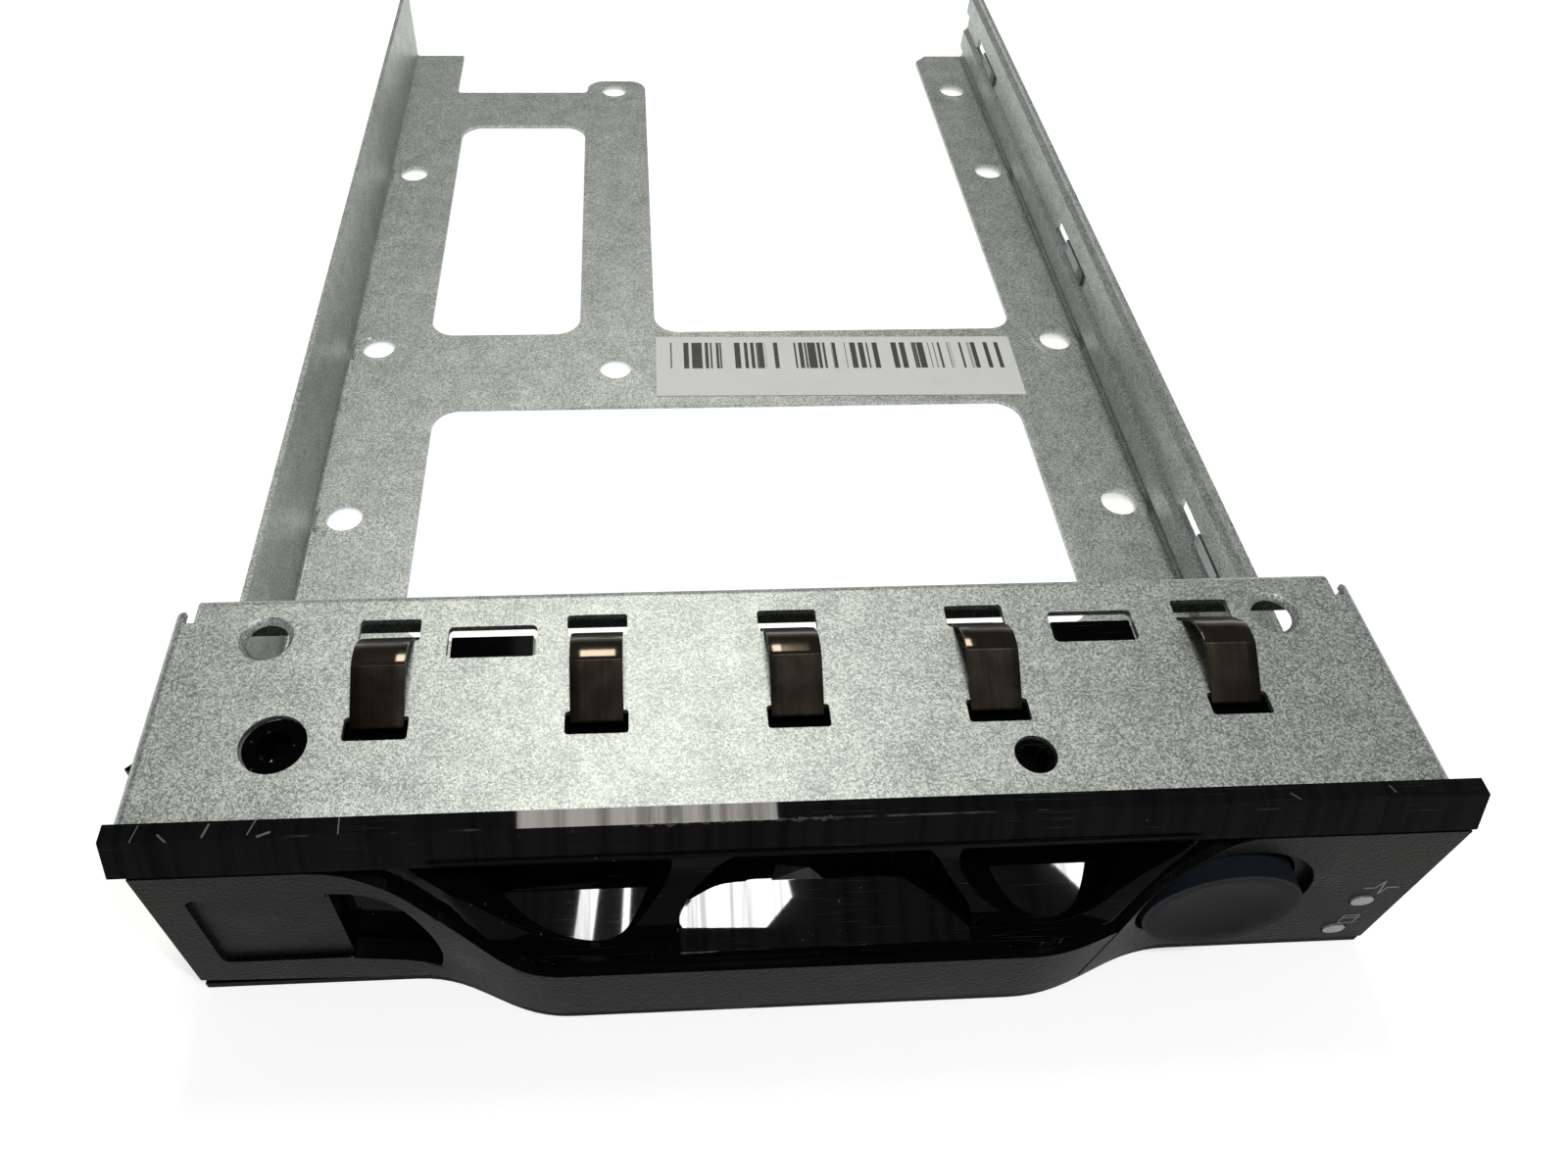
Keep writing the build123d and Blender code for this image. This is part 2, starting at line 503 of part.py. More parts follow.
# Moulded fascia: sill, back wall, top bar and the grip body with its rim and ribs
with BuildPart() as fascia:
    # body above the lever, with its sloping face above the rim
    body_bottom = SCOOP_FLOOR_Z - SCOOP_FLOOR_THICKNESS
    with BuildSketch(Plane.XY.offset(body_bottom)):
        with BuildLine():
            front_plan(-39.0, 40.0, RIM_INSET, BACK_WALL[1])
        make_face()
    extrude(amount=BAR_BOTTOM_Z + 0.6 - body_bottom)
    with BuildSketch(Plane.YZ.offset(-REACH_X)):
        with BuildLine():
            Polyline((station(REACH_Y), RIM_TOP_Z), (station(GRIP_FACE + RIM_DEPTH), RIM_TOP_Z),
                     (station(BAR_FRONT), BAR_BOTTOM_Z - 1.8),
                     (station(BAR_FRONT), BAR_TOP_Z + CUT_MARGIN),
                     (station(REACH_Y), BAR_TOP_Z + CUT_MARGIN), close=True)
        make_face()
    extrude(amount=2 * REACH_X, mode=Mode.SUBTRACT)
    # back wall, thicker behind the right panel and behind the scoops
    hub_clear_x = HINGE_X + HUB_RADIUS + 0.6
    with BuildSketch(Plane.XY):
        with BuildLine():
            Polyline((hub_clear_x, station(BACK_WALL[0])), (27.5, station(BACK_WALL[0])),
                     (27.5, station(RIGHT_BACK_WALL_FRONT)),
                     (WALL_INNER_X + 0.4, station(RIGHT_BACK_WALL_FRONT)),
                     (WALL_INNER_X + 0.4, station(BACK_WALL[1])),
                     (hub_clear_x, station(BACK_WALL[1])), close=True)
        make_face()
    extrude(amount=plate_bottom - 0.1)
    x0, x1, backing_rear = SCOOP_BACKING
    with BuildSketch(Plane.XY.offset(body_bottom)):
        with Locations(((x0 + x1) / 2, station((BACK_WALL[0] + backing_rear) / 2))):
            Rectangle(x1 - x0, backing_rear - BACK_WALL[0])
    extrude(amount=BAR_BOTTOM_Z + 0.6 - body_bottom)
    add(scoops.part & scoop_depth.part, mode=Mode.SUBTRACT)
    add(pockets.part, mode=Mode.SUBTRACT)
    # top bar
    with BuildSketch(Plane.YZ.offset(BAR_LEFT_X)):
        with BuildLine():
            Polyline((station(BAR_REAR), BAR_BOTTOM_Z), (station(BAR_FRONT), BAR_BOTTOM_Z),
                     (station(BAR_CREST), BAR_TOP_Z), (station(BAR_REAR), BAR_TOP_Z), close=True)
        make_face()
    extrude(amount=BAR_RIGHT_X - BAR_LEFT_X)
    # bearing plate under the bracket for the hinge pin's upper end
    with BuildSketch(Plane.XY.offset(BAR_BOTTOM_Z)):
        with Locations((HINGE_X + 2.5, station(0.0))):
            Rectangle(2 * HUB_EAR_RADIUS + 4.0, 6.4)
    extrude(amount=plate_bottom - BAR_BOTTOM_Z)
    add(lever_room.part, mode=Mode.SUBTRACT)
    add(panel_room.part, mode=Mode.SUBTRACT)
    # sill under the panels
    with BuildSketch(Plane.XY):
        with BuildLine():
            front_plan(PANEL_LEFT_X + 0.1, PANEL_RIGHT_X - 0.1, 0.1, BACK_WALL[1])
        make_face()
    extrude(amount=SILL_TOP_Z)
    with BuildSketch(Plane.XY):
        with Locations((0, station((BACK_WALL[1] + FLOOR_FRONT - 0.1) / 2))):
            Rectangle(2 * WALL_INNER_X - 0.4, FLOOR_FRONT - 0.1 - BACK_WALL[1])
    extrude(amount=SILL_TOP_Z)
    # shelf that carries the latch
    with BuildSketch(Plane.XY.offset(SHEET)):
        with Locations(((LATCH_SHELF[0] + LATCH_SHELF[1]) / 2, station(LATCH_SHELF[2] / 2 - 0.3))):
            Rectangle(LATCH_SHELF[1] - LATCH_SHELF[0], LATCH_SHELF[2] + 0.6)
    extrude(amount=LATCH_SHELF_TOP_Z - SHEET)
    with Locations((LATCH_PIN_X, station(LATCH_PIN_Y), SHEET)):
        Cylinder(2.2, LATCH_Z[0] - 0.1 - SHEET, align=(Align.CENTER, Align.CENTER, Align.MIN))
        Cylinder(LATCH_PIN_RADIUS, 20, mode=Mode.SUBTRACT)
    # tongues under the bracket, with hooks that snap into its long slots
    for x, y in HOOK_SLOTS:
        with BuildSketch(Plane.YZ.offset(x - HOOK_WIDTH / 2)):
            with BuildLine():
                slot_front = y - HOOK_SLOT_WIDTH / 2
                Polyline((station(BACK_WALL[1] - 0.5), HOOK_TONGUE_Z[0]),
                         (station(BACK_WALL[1] - 0.5), HOOK_TONGUE_Z[1]),
                         (station(slot_front + 0.15), HOOK_TONGUE_Z[1]),
                         (station(slot_front + 0.15), HOOK_TONGUE_Z[1] + HOOK_RISE),
                         (station(slot_front + 1.5), HOOK_TONGUE_Z[1] + HOOK_RISE),
                         (station(slot_front + 2.4), HOOK_TONGUE_Z[0]), close=True)
            make_face()
        extrude(amount=HOOK_WIDTH)
    # hollow locating boss in the big hole, with its web to the back wall
    with BuildSketch(Plane.XY.offset(20.9)):
        with Locations((BOSS_HOLE[0], station(BOSS_HOLE[1] / 2))):
            Rectangle(2.4, BOSS_HOLE[1] + 1.2)
    extrude(amount=plate_bottom - 20.9)
    with Locations((BOSS_HOLE[0], station(BOSS_HOLE[1]), 20.9)):
        Cylinder(BOSS_RADIUS, BRACKET_TOP_Z - 0.35 - 20.9,
                 align=(Align.CENTER, Align.CENTER, Align.MIN))
        Cylinder(BOSS_BORE_RADIUS, 20, mode=Mode.SUBTRACT)
    # hollow post under the middle hole
    with Locations((MIDDLE_HOLE[0], station(MIDDLE_HOLE[1]), 20.9)):
        Cylinder(2.1, plate_bottom - 20.9, align=(Align.CENTER, Align.CENTER, Align.MIN))
    with BuildSketch(Plane.XY.offset(20.9)):
        with Locations((MIDDLE_HOLE[0], station(0.3))):
            Rectangle(5.0, 2.4)
    extrude(amount=plate_bottom - 20.9)
    with Locations((MIDDLE_HOLE[0], station(MIDDLE_HOLE[1]), 25)):
        Cylinder(1.2, 12, mode=Mode.SUBTRACT)
    # hinge pin holes in the bearing plate and the sill
    with Locations((HINGE_X, station(HINGE_Y), 0)):
        Cylinder(HINGE_PIN_RADIUS, 2 * plate_bottom, mode=Mode.SUBTRACT)
    # the lever's hub turns in front of the sill's back and behind the bar
    with BuildSketch(Plane.XY.offset(SILL_TOP_Z)):
        with Locations((HINGE_X, station(HINGE_Y))):
            Circle(5.4)
    extrude(amount=BAR_BOTTOM_Z - SILL_TOP_Z, mode=Mode.SUBTRACT)
    # window for the lever's catch and the latch
    x0, x1, z0, z1 = CATCH_WINDOW
    with BuildSketch(Plane.XZ.offset(-station(2))):
        with Locations(((x0 + x1) / 2, (z0 + z1) / 2)):
            Rectangle(x1 - x0, z1 - z0)
    extrude(amount=4.6, mode=Mode.SUBTRACT)
    # round opening for the button
    with BuildSketch(Plane.XZ.offset(-station(2))):
        with Locations((BUTTON_X, BUTTON_Z)):
            Circle(BUTTON_RADIUS + BUTTON_GAP)
    extrude(amount=14, mode=Mode.SUBTRACT)
    # room for the front ends of the light pipe
    x0, z0, z1 = LAMP_POCKET
    with BuildSketch(Plane.XZ.offset(-station(2))):
        with Locations(((x0 + 60) / 2, (z0 + z1) / 2)):
            Rectangle(60 - x0, z1 - z0)
    extrude(amount=6, mode=Mode.SUBTRACT)
fascia.part.label = "fascia"
export_step(fascia.part, "parts/fascia.step")

# Ejector lever: swept panel, hub on the hinge pin, rear arm with its tooth, and the catch
CATCH = ((22.4, -5.4), (24.3, -5.4), (24.3, -1.8), (25.7, -1.8), (25.7, -0.6), (22.4, -0.6))
ARM = ((-50.6, 0.4), (-51.4, 5.0), (-55.3, 7.0), (-51.4, 10.6), (-46.8, 6.5), (-46.2, 0.4))
with BuildPart() as ejector_lever:
    with BuildSketch(Plane.XY):
        with BuildLine():
            front_skin(-REACH_X, REACH_X, LEVER_THICKNESS)
        make_face()
    extrude(amount=30)
    with BuildSketch(Plane.XZ.offset(-station(0))):
        with BuildLine():
            lever_front()
        make_face()
    extrude(amount=16, mode=Mode.INTERSECT)
    # hub
    with Locations((HINGE_X, station(HINGE_Y), PANEL_BOTTOM_Z)):
        Cylinder(HUB_RADIUS, PANEL_TOP_Z - PANEL_BOTTOM_Z,
                 align=(Align.CENTER, Align.CENTER, Align.MIN))
    with BuildSketch(Plane.XY.offset(PANEL_BOTTOM_Z)):
        with Locations((HINGE_X, station((PANEL_FACE + 1.0 + HINGE_Y) / 2))):
            Rectangle(2 * HUB_RADIUS, HINGE_Y - PANEL_FACE - 1.0)
    extrude(amount=PANEL_TOP_Z - PANEL_BOTTOM_Z)
    # arm and tooth
    with BuildSketch(Plane.XY.offset(TOOTH_Z[0])):
        with BuildLine():
            Polyline(*[(x, station(y)) for x, y in ARM], close=True)
        make_face()
    extrude(amount=TOOTH_Z[1] - TOOTH_Z[0])
    # catch behind the free end
    with BuildSketch(Plane.XY.offset(LATCH_Z[0])):
        with BuildLine():
            Polyline(*[(x, station(y)) for x, y in CATCH], close=True)
        make_face()
    extrude(amount=LATCH_Z[1] - LATCH_Z[0])
    # shallow recess for a name plate, and the deep finger pocket beside it
    x0, x1, z0, z1 = LABEL_RECESS
    with BuildSketch(Plane.XZ.offset(-station(PANEL_FACE + LABEL_RECESS_DEPTH))):
        with Locations(((x0 + x1) / 2, (z0 + z1) / 2)):
            RectangleRounded(x1 - x0, z1 - z0, 0.9)
    extrude(amount=4, mode=Mode.SUBTRACT)
    with BuildSketch(Plane.XZ.offset(-station(0))):
        with BuildLine():
            Spline(FINGER_POCKET_CURVE)
            Polyline(*FINGER_POCKET_FOOT)
        make_face()
    extrude(amount=12, mode=Mode.SUBTRACT)
    with Locations((HINGE_X, station(HINGE_Y), 12)):
        Cylinder(HINGE_PIN_RADIUS + HINGE_RUNNING_GAP, 40, mode=Mode.SUBTRACT)
ejector_lever.part.label = "ejector_lever"
export_step(ejector_lever.part, "parts/ejector_lever.step")

# Steel pin that the lever turns on
with BuildPart() as lever_hinge_pin:
    with Locations((HINGE_X, station(HINGE_Y), 0.1)):
        Cylinder(HINGE_PIN_RADIUS, plate_bottom - 0.2,
                 align=(Align.CENTER, Align.CENTER, Align.MIN))
lever_hinge_pin.part.label = "lever_hinge_pin"
export_step(lever_hinge_pin.part, "parts/lever_hinge_pin.step")

# Right panel with the round button recess and two lamp windows
with BuildPart() as right_panel:
    with BuildSketch(Plane.XY):
        with BuildLine():
            front_skin(-REACH_X, REACH_X, PANEL_THICKNESS)
        make_face()
    extrude(amount=30)
    with BuildSketch(Plane.XZ.offset(-station(0))):
        with BuildLine():
            right_panel_front()
        make_face()
    extrude(amount=16, mode=Mode.INTERSECT)
    recess_floor = PANEL_FACE + PANEL_THICKNESS - 0.6
    with BuildSketch(Plane.XZ.offset(-station(recess_floor))):
        with Locations(RECESS_CENTRE):
            Circle(RECESS_RADIUS)
    extrude(amount=8, mode=Mode.SUBTRACT)
    with BuildSketch(Plane.XZ.offset(-station(2))):
        with Locations((BUTTON_X, BUTTON_Z)):
            Circle(BUTTON_RADIUS + BUTTON_GAP)
        for lens_z in (UPPER_LENS_Z, LOWER_LENS_Z):
            with Locations((LENS_X, lens_z)):
                SlotOverall(LENS_SIZE[0] + 0.2, LENS_SIZE[1] + 0.2)
    extrude(amount=14, mode=Mode.SUBTRACT)
right_panel.part.label = "right_panel"
export_step(right_panel.part, "parts/right_panel.step")

# Release button: a dished cap with two retaining lugs and a stem to the latch
CAP_REAR = 0.6
CAP_WALL = 1.2
STEM = (36.6, 39.8, 6.0, 7.6)
with BuildPart() as release_button:
    with BuildSketch(Plane.XZ.offset(-station(CAP_REAR))):
        with Locations((BUTTON_X, BUTTON_Z)):
            Circle(BUTTON_RADIUS)
    extrude(amount=CAP_REAR - BUTTON_FACE)
    with BuildSketch(Plane.XZ.offset(-station(CAP_REAR))):
        with Locations((BUTTON_X, BUTTON_Z)):
            Circle(BUTTON_RADIUS - CAP_WALL)
    extrude(amount=CAP_REAR - BUTTON_FACE - CAP_WALL - 0.4, mode=Mode.SUBTRACT)
    # shallow dish for the fingertip
    with Locations((BUTTON_X, station(BUTTON_FACE) - 41.6, BUTTON_Z)):
        Sphere(42.0, mode=Mode.SUBTRACT)
    # retaining lugs behind the fascia's back wall
    with BuildSketch(Plane.XZ.offset(-station(CAP_REAR + 0.5))):
        with Locations((BUTTON_X, BUTTON_Z)):
            Rectangle(2 * BUTTON_RADIUS + 2.6, 3.0)
            Circle(BUTTON_RADIUS - CAP_WALL, mode=Mode.SUBTRACT)
    extrude(amount=0.8)
    x0, x1, z0, z1 = STEM
    with BuildSketch(Plane.XZ.offset(-station(LATCH_PIN_Y - 1.4))):
        with Locations(((x0 + x1) / 2, (z0 + z1) / 2)):
            Rectangle(x1 - x0, z1 - z0)
    extrude(amount=LATCH_PIN_Y - 1.4 - BUTTON_FACE - CAP_WALL - 0.2)
release_button.part.label = "release_button"
export_step(release_button.part, "parts/release_button.step")

# Latch: hook arm to the lever's catch, tail arm behind the button's stem
LATCH_HOOK = ((26.6, 6.0), (26.6, -2.1), (24.7, -2.1), (24.7, -3.0), (25.7, -3.8), (28.0, -3.8),
              (28.0, 7.2), (41.0, 7.2), (41.0, 9.4), (25.4, 9.4))
with BuildPart() as latch:
    with BuildSketch(Plane.XY.offset(LATCH_Z[0])):
        with BuildLine():
            Polyline(*[(x, station(y)) for x, y in LATCH_HOOK], close=True)
        make_face()
        with Locations((LATCH_PIN_X, station(LATCH_PIN_Y))):
            Circle(2.2)
            Circle(LATCH_PIN_RADIUS + HINGE_RUNNING_GAP, mode=Mode.SUBTRACT)
    extrude(amount=LATCH_Z[1] - LATCH_Z[0])
latch.part.label = "latch"
export_step(latch.part, "parts/latch.step")

with BuildPart() as latch_pin:
    with Locations((LATCH_PIN_X, station(LATCH_PIN_Y), SHEET)):
        Cylinder(LATCH_PIN_RADIUS, LATCH_Z[1] + 0.4 - SHEET,
                 align=(Align.CENTER, Align.CENTER, Align.MIN))
    with Locations((LATCH_PIN_X, station(LATCH_PIN_Y), LATCH_Z[1] + 0.2)):
        Cylinder(1.9, 0.6, align=(Align.CENTER, Align.CENTER, Align.MIN))
latch_pin.part.label = "latch_pin"
export_step(latch_pin.part, "parts/latch_pin.step")

# Clear light pipe: two bars along the right wall, joined by webs with snap lugs
PIPE_INNER_X = WALL_OUTER_X - BEAD_DEPTH + 0.05
PIPE_OUTER_X = PIPE_INNER_X + PIPE_DEPTH
PIPE_REAR = 168.0
BLOCK = (-1.9, 0.4)
LUG_HOOK = 0.45
with BuildPart() as light_pipe:
    for bead_z, lens_z in ((LOWER_BEAD_Z, LOWER_LENS_Z), (UPPER_BEAD_Z, UPPER_LENS_Z)):
        bar_z = bead_z + BEAD_HEIGHT / 2
        with BuildSketch(Plane.XZ.offset(-station(PIPE_REAR))):
            with Locations(((PIPE_INNER_X + PIPE_OUTER_X) / 2, bar_z)):
                Rectangle(PIPE_DEPTH, PIPE_HEIGHT)
        extrude(amount=PIPE_REAR - BLOCK[0])
        with BuildSketch(Plane.XZ.offset(-station(BLOCK[1]))):
            with Locations(((LENS_X - 0.8 + PIPE_OUTER_X) / 2, (bar_z + lens_z) / 2)):
                Rectangle(PIPE_OUTER_X - LENS_X + 0.8, PIPE_HEIGHT)
        extrude(amount=BLOCK[1] - BLOCK[0])
        with BuildSketch(Plane.XZ.offset(-station(BLOCK[1]))):
            with Locations((LENS_X, lens_z)):
                SlotOverall(*LENS_SIZE)
        extrude(amount=BLOCK[1] - PANEL_FACE + 0.15)
    for distance in LUG_STATIONS:
        web_z0 = LOWER_BEAD_Z + BEAD_HEIGHT / 2
        web_z1 = UPPER_BEAD_Z + BEAD_HEIGHT / 2
        with BuildSketch(Plane.YZ.offset(WALL_OUTER_X)):
            with Locations((station(distance), (web_z0 + web_z1) / 2)):
                Rectangle(LUG_LENGTH - 2.0, web_z1 - web_z0)
        extrude(amount=PIPE_OUTER_X - WALL_OUTER_X)
        slot_z = sum(LUG_SLOT_Z) / 2
        slot_height = LUG_SLOT_Z[1] - LUG_SLOT_Z[0]
        with BuildSketch(Plane.YZ.offset(WALL_INNER_X - LUG_HOOK)):
            with Locations((station(distance), slot_z)):
                Rectangle(LUG_LENGTH - 2.0, slot_height - 0.2)
        extrude(amount=LUG_HOOK + SHEET)
        with BuildSketch(Plane.YZ.offset(WALL_INNER_X - LUG_HOOK)):
            with Locations((station(distance - 2.0), slot_z)):
                Rectangle(LUG_LENGTH - 1.0, slot_height - 0.2)
        extrude(amount=LUG_HOOK)
light_pipe.part.label = "light_pipe"
export_step(light_pipe.part, "parts/light_pipe.step")

# White identification label on the floor
with BuildPart() as id_label:
    with BuildSketch(Plane.XY.offset(SHEET)):
        with Locations(Location((LABEL_CENTRE[0], station(LABEL_CENTRE[1])), LABEL_TURN)):
            Rectangle(LABEL_SIZE[0], LABEL_SIZE[1])
    extrude(amount=LABEL_SIZE[2])
id_label.part.label = "id_label"
export_step(id_label.part, "parts/id_label.step")
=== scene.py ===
"""Looks of the hot swap drive caddy: finishes, softened mouldings, strips, printed marks, studio, camera."""
import json
import logging
import math
from dataclasses import dataclass
from enum import Enum
from typing import Callable

import bpy
from mathutils import Matrix, Vector

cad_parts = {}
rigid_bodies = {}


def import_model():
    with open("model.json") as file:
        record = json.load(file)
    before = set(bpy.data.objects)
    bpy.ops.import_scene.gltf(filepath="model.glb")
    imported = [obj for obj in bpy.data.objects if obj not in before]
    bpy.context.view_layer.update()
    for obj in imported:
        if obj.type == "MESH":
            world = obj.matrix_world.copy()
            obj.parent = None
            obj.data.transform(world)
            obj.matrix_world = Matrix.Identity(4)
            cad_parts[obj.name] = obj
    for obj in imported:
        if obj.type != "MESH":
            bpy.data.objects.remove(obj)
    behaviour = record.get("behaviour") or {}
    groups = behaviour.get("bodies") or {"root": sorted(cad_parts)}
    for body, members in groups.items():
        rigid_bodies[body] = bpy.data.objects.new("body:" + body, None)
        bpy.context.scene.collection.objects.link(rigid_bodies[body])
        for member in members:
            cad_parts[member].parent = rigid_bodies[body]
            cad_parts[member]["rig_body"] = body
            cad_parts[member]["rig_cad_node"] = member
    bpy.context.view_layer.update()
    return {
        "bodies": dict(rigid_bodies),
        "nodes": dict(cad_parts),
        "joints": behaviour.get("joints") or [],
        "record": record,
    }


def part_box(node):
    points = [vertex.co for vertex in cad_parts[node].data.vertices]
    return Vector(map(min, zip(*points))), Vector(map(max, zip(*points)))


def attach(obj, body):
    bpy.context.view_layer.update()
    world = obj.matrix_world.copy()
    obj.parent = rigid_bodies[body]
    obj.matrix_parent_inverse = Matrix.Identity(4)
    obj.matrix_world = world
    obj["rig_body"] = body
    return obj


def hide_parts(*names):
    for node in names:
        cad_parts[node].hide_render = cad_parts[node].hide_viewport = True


LOG = logging.getLogger("caddy")
MM = 0.001
BRACKET_FRONT = -90.12
Number = float | int
Colour = tuple[float, float, float]
Point = tuple[float, float, float]
Span = tuple[float, float]


def station(distance: Number) -> float:
    """Y in millimetres of a point this far behind the bracket's front edge."""
    return BRACKET_FRONT + distance


class Body(Enum):
    """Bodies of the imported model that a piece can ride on."""

    CARRIER = "carrier"
    LEVER = "lever"
    BUTTON = "button"
    LATCH = "latch"


class Slot(Enum):
    """Material slots of the record that a modelled piece can fill."""

    SHEET = "galvanised_steel"
    SPRING = "spring_steel"
    GLOSS = "gloss_black_plastic"
    GRAIN = "textured_black_plastic"
    BUTTON = "button_plastic"
    LATCH = "latch_plastic"
    CLEAR = "clear_plastic"
    PAPER = "label_paper"


class Wire:
    """A shader socket that takes part in Python expressions."""

    def __init__(self, graph: "Nodes", socket: bpy.types.NodeSocket) -> None:
        """Keeps the socket.

        Args:
            graph: The node tree that owns the socket.
            socket: The output socket.
        """
        self.graph = graph
        self.socket = socket

    def maths(self, operation: str, *values: "Wire | Number", clamp: bool = False) -> "Wire":
        """Adds a Math node.

        Args:
            operation: The node's operation.
            values: What goes into its sockets after this wire.
            clamp: Whether the result stays between 0 and 1.

        Returns:
            The node's result.
        """
        inputs = {0: self}
        inputs.update({i + 1: v for i, v in enumerate(values)})
        return self.graph.node("ShaderNodeMath", {"operation": operation, "use_clamp": clamp}, inputs)

    def __add__(self, other: "Wire | Number") -> "Wire":
        """Sum."""
        return self.maths("ADD", other)

    __radd__ = __add__

    def __sub__(self, other: "Wire | Number") -> "Wire":
        """Difference."""
        return self.maths("SUBTRACT", other)

    def __rsub__(self, other: Number) -> "Wire":
        """Difference from a number."""
        return (self * -1.0) + other

    def __mul__(self, other: "Wire | Number") -> "Wire":
        """Product."""
        return self.maths("MULTIPLY", other)

    __rmul__ = __mul__

    def __truediv__(self, other: Number) -> "Wire":
        """Quotient by a number."""
        return self.maths("MULTIPLY", 1.0 / other)

    def __pow__(self, other: Number) -> "Wire":
        """Power."""
        return self.maths("POWER", other)

    def above(self, low: Number, high: Number) -> "Wire":
        """Smooth mask.

        Args:
            low: Where the mask is 0.
            high: Where the mask is 1.

        Returns:
            0 below low, 1 above high, smooth between them.
        """
        return self.graph.node(
            "ShaderNodeMapRange", {"interpolation_type": "SMOOTHSTEP"},
            {"Value": self, "From Min": low, "From Max": high})

    def below(self, low: Number, high: Number) -> "Wire":
        """The mask above turned round: 1 under low, 0 over high."""
        return 1.0 - self.above(low, high)

    def within(self, low: Number, high: Number, edge: Number) -> "Wire":
        """Band mask.

        Args:
            low: Start of the band.
            high: End of the band.
            edge: Width of its soft edges.

        Returns:
            1 inside the band and 0 outside it.
        """
        return self.above(low - edge, low) * self.below(high, high + edge)


class Nodes:
    """A node tree whose nodes all come from one method."""

    def __init__(self, tree: bpy.types.NodeTree) -> None:
        """Keeps the tree.

        Args:
            tree: The tree of a material or a world.
        """
        self.tree = tree

    def node(self, kind: str, settings: dict[str, object], inputs: dict[int | str, object],
             output: int | str = 0) -> Wire:
        """Adds any node.

        Args:
            kind: The node's type.
            settings: Its settings, set first; a ramp's stops are under "stops".
            inputs: Values, colours or wires for its sockets, by name or place.
            output: Which output is wanted.

        Returns:
            That output.
        """
        made = self.tree.nodes.new(kind)
        for key, value in settings.items():
            if key == "stops":
                self.fill_ramp(made, value)
            else:
                setattr(made, key, value)
        for key, value in inputs.items():
            self.feed(made.inputs[key], value)
        return Wire(self, made.outputs[output])

    def feed(self, socket: bpy.types.NodeSocket, value: "Wire | Number | tuple[float, ...]") -> None:
        """Links a socket or gives it its value.

        Args:
            socket: The input socket.
            value: A wire, a number, a colour or a vector.
        """
        if isinstance(value, Wire):
            self.tree.links.new(value.socket, socket)
        elif socket.type == "RGBA":
            socket.default_value = (*value, 1.0)
        else:
            socket.default_value = value

    @staticmethod
    def fill_ramp(ramp: bpy.types.Node, stops: list[tuple[float, Colour]]) -> None:
        """Sets a colour ramp's stops.

        Args:
            ramp: The ramp node.
            stops: Place and colour of each stop.
        """
        elements = ramp.color_ramp.elements
        while len(elements) < len(stops):
            elements.new(1.0)
        for element, (place, colour) in zip(elements, stops):
            element.position = place
            element.color = (*colour, 1.0)

    def axis(self, vector: Wire, name: str) -> Wire:
        """One axis of a vector, X, Y or Z."""
        return self.node("ShaderNodeSeparateXYZ", {}, {"Vector": vector}, name)

    def ray_is(self, *kinds: str) -> Wire:
        """A mask of some kinds of ray.

        Args:
            kinds: The Light Path node's kinds of ray that count.

        Returns:
            1 where the ray is of one of these kinds, and 0 elsewhere.
        """
        masks = [self.node("ShaderNodeLightPath", {}, {}, f"Is {kind} Ray") for kind in kinds]
        seen = masks[0]
        for mask in masks[1:]:
            seen = seen.maths("MAXIMUM", mask)
        return seen


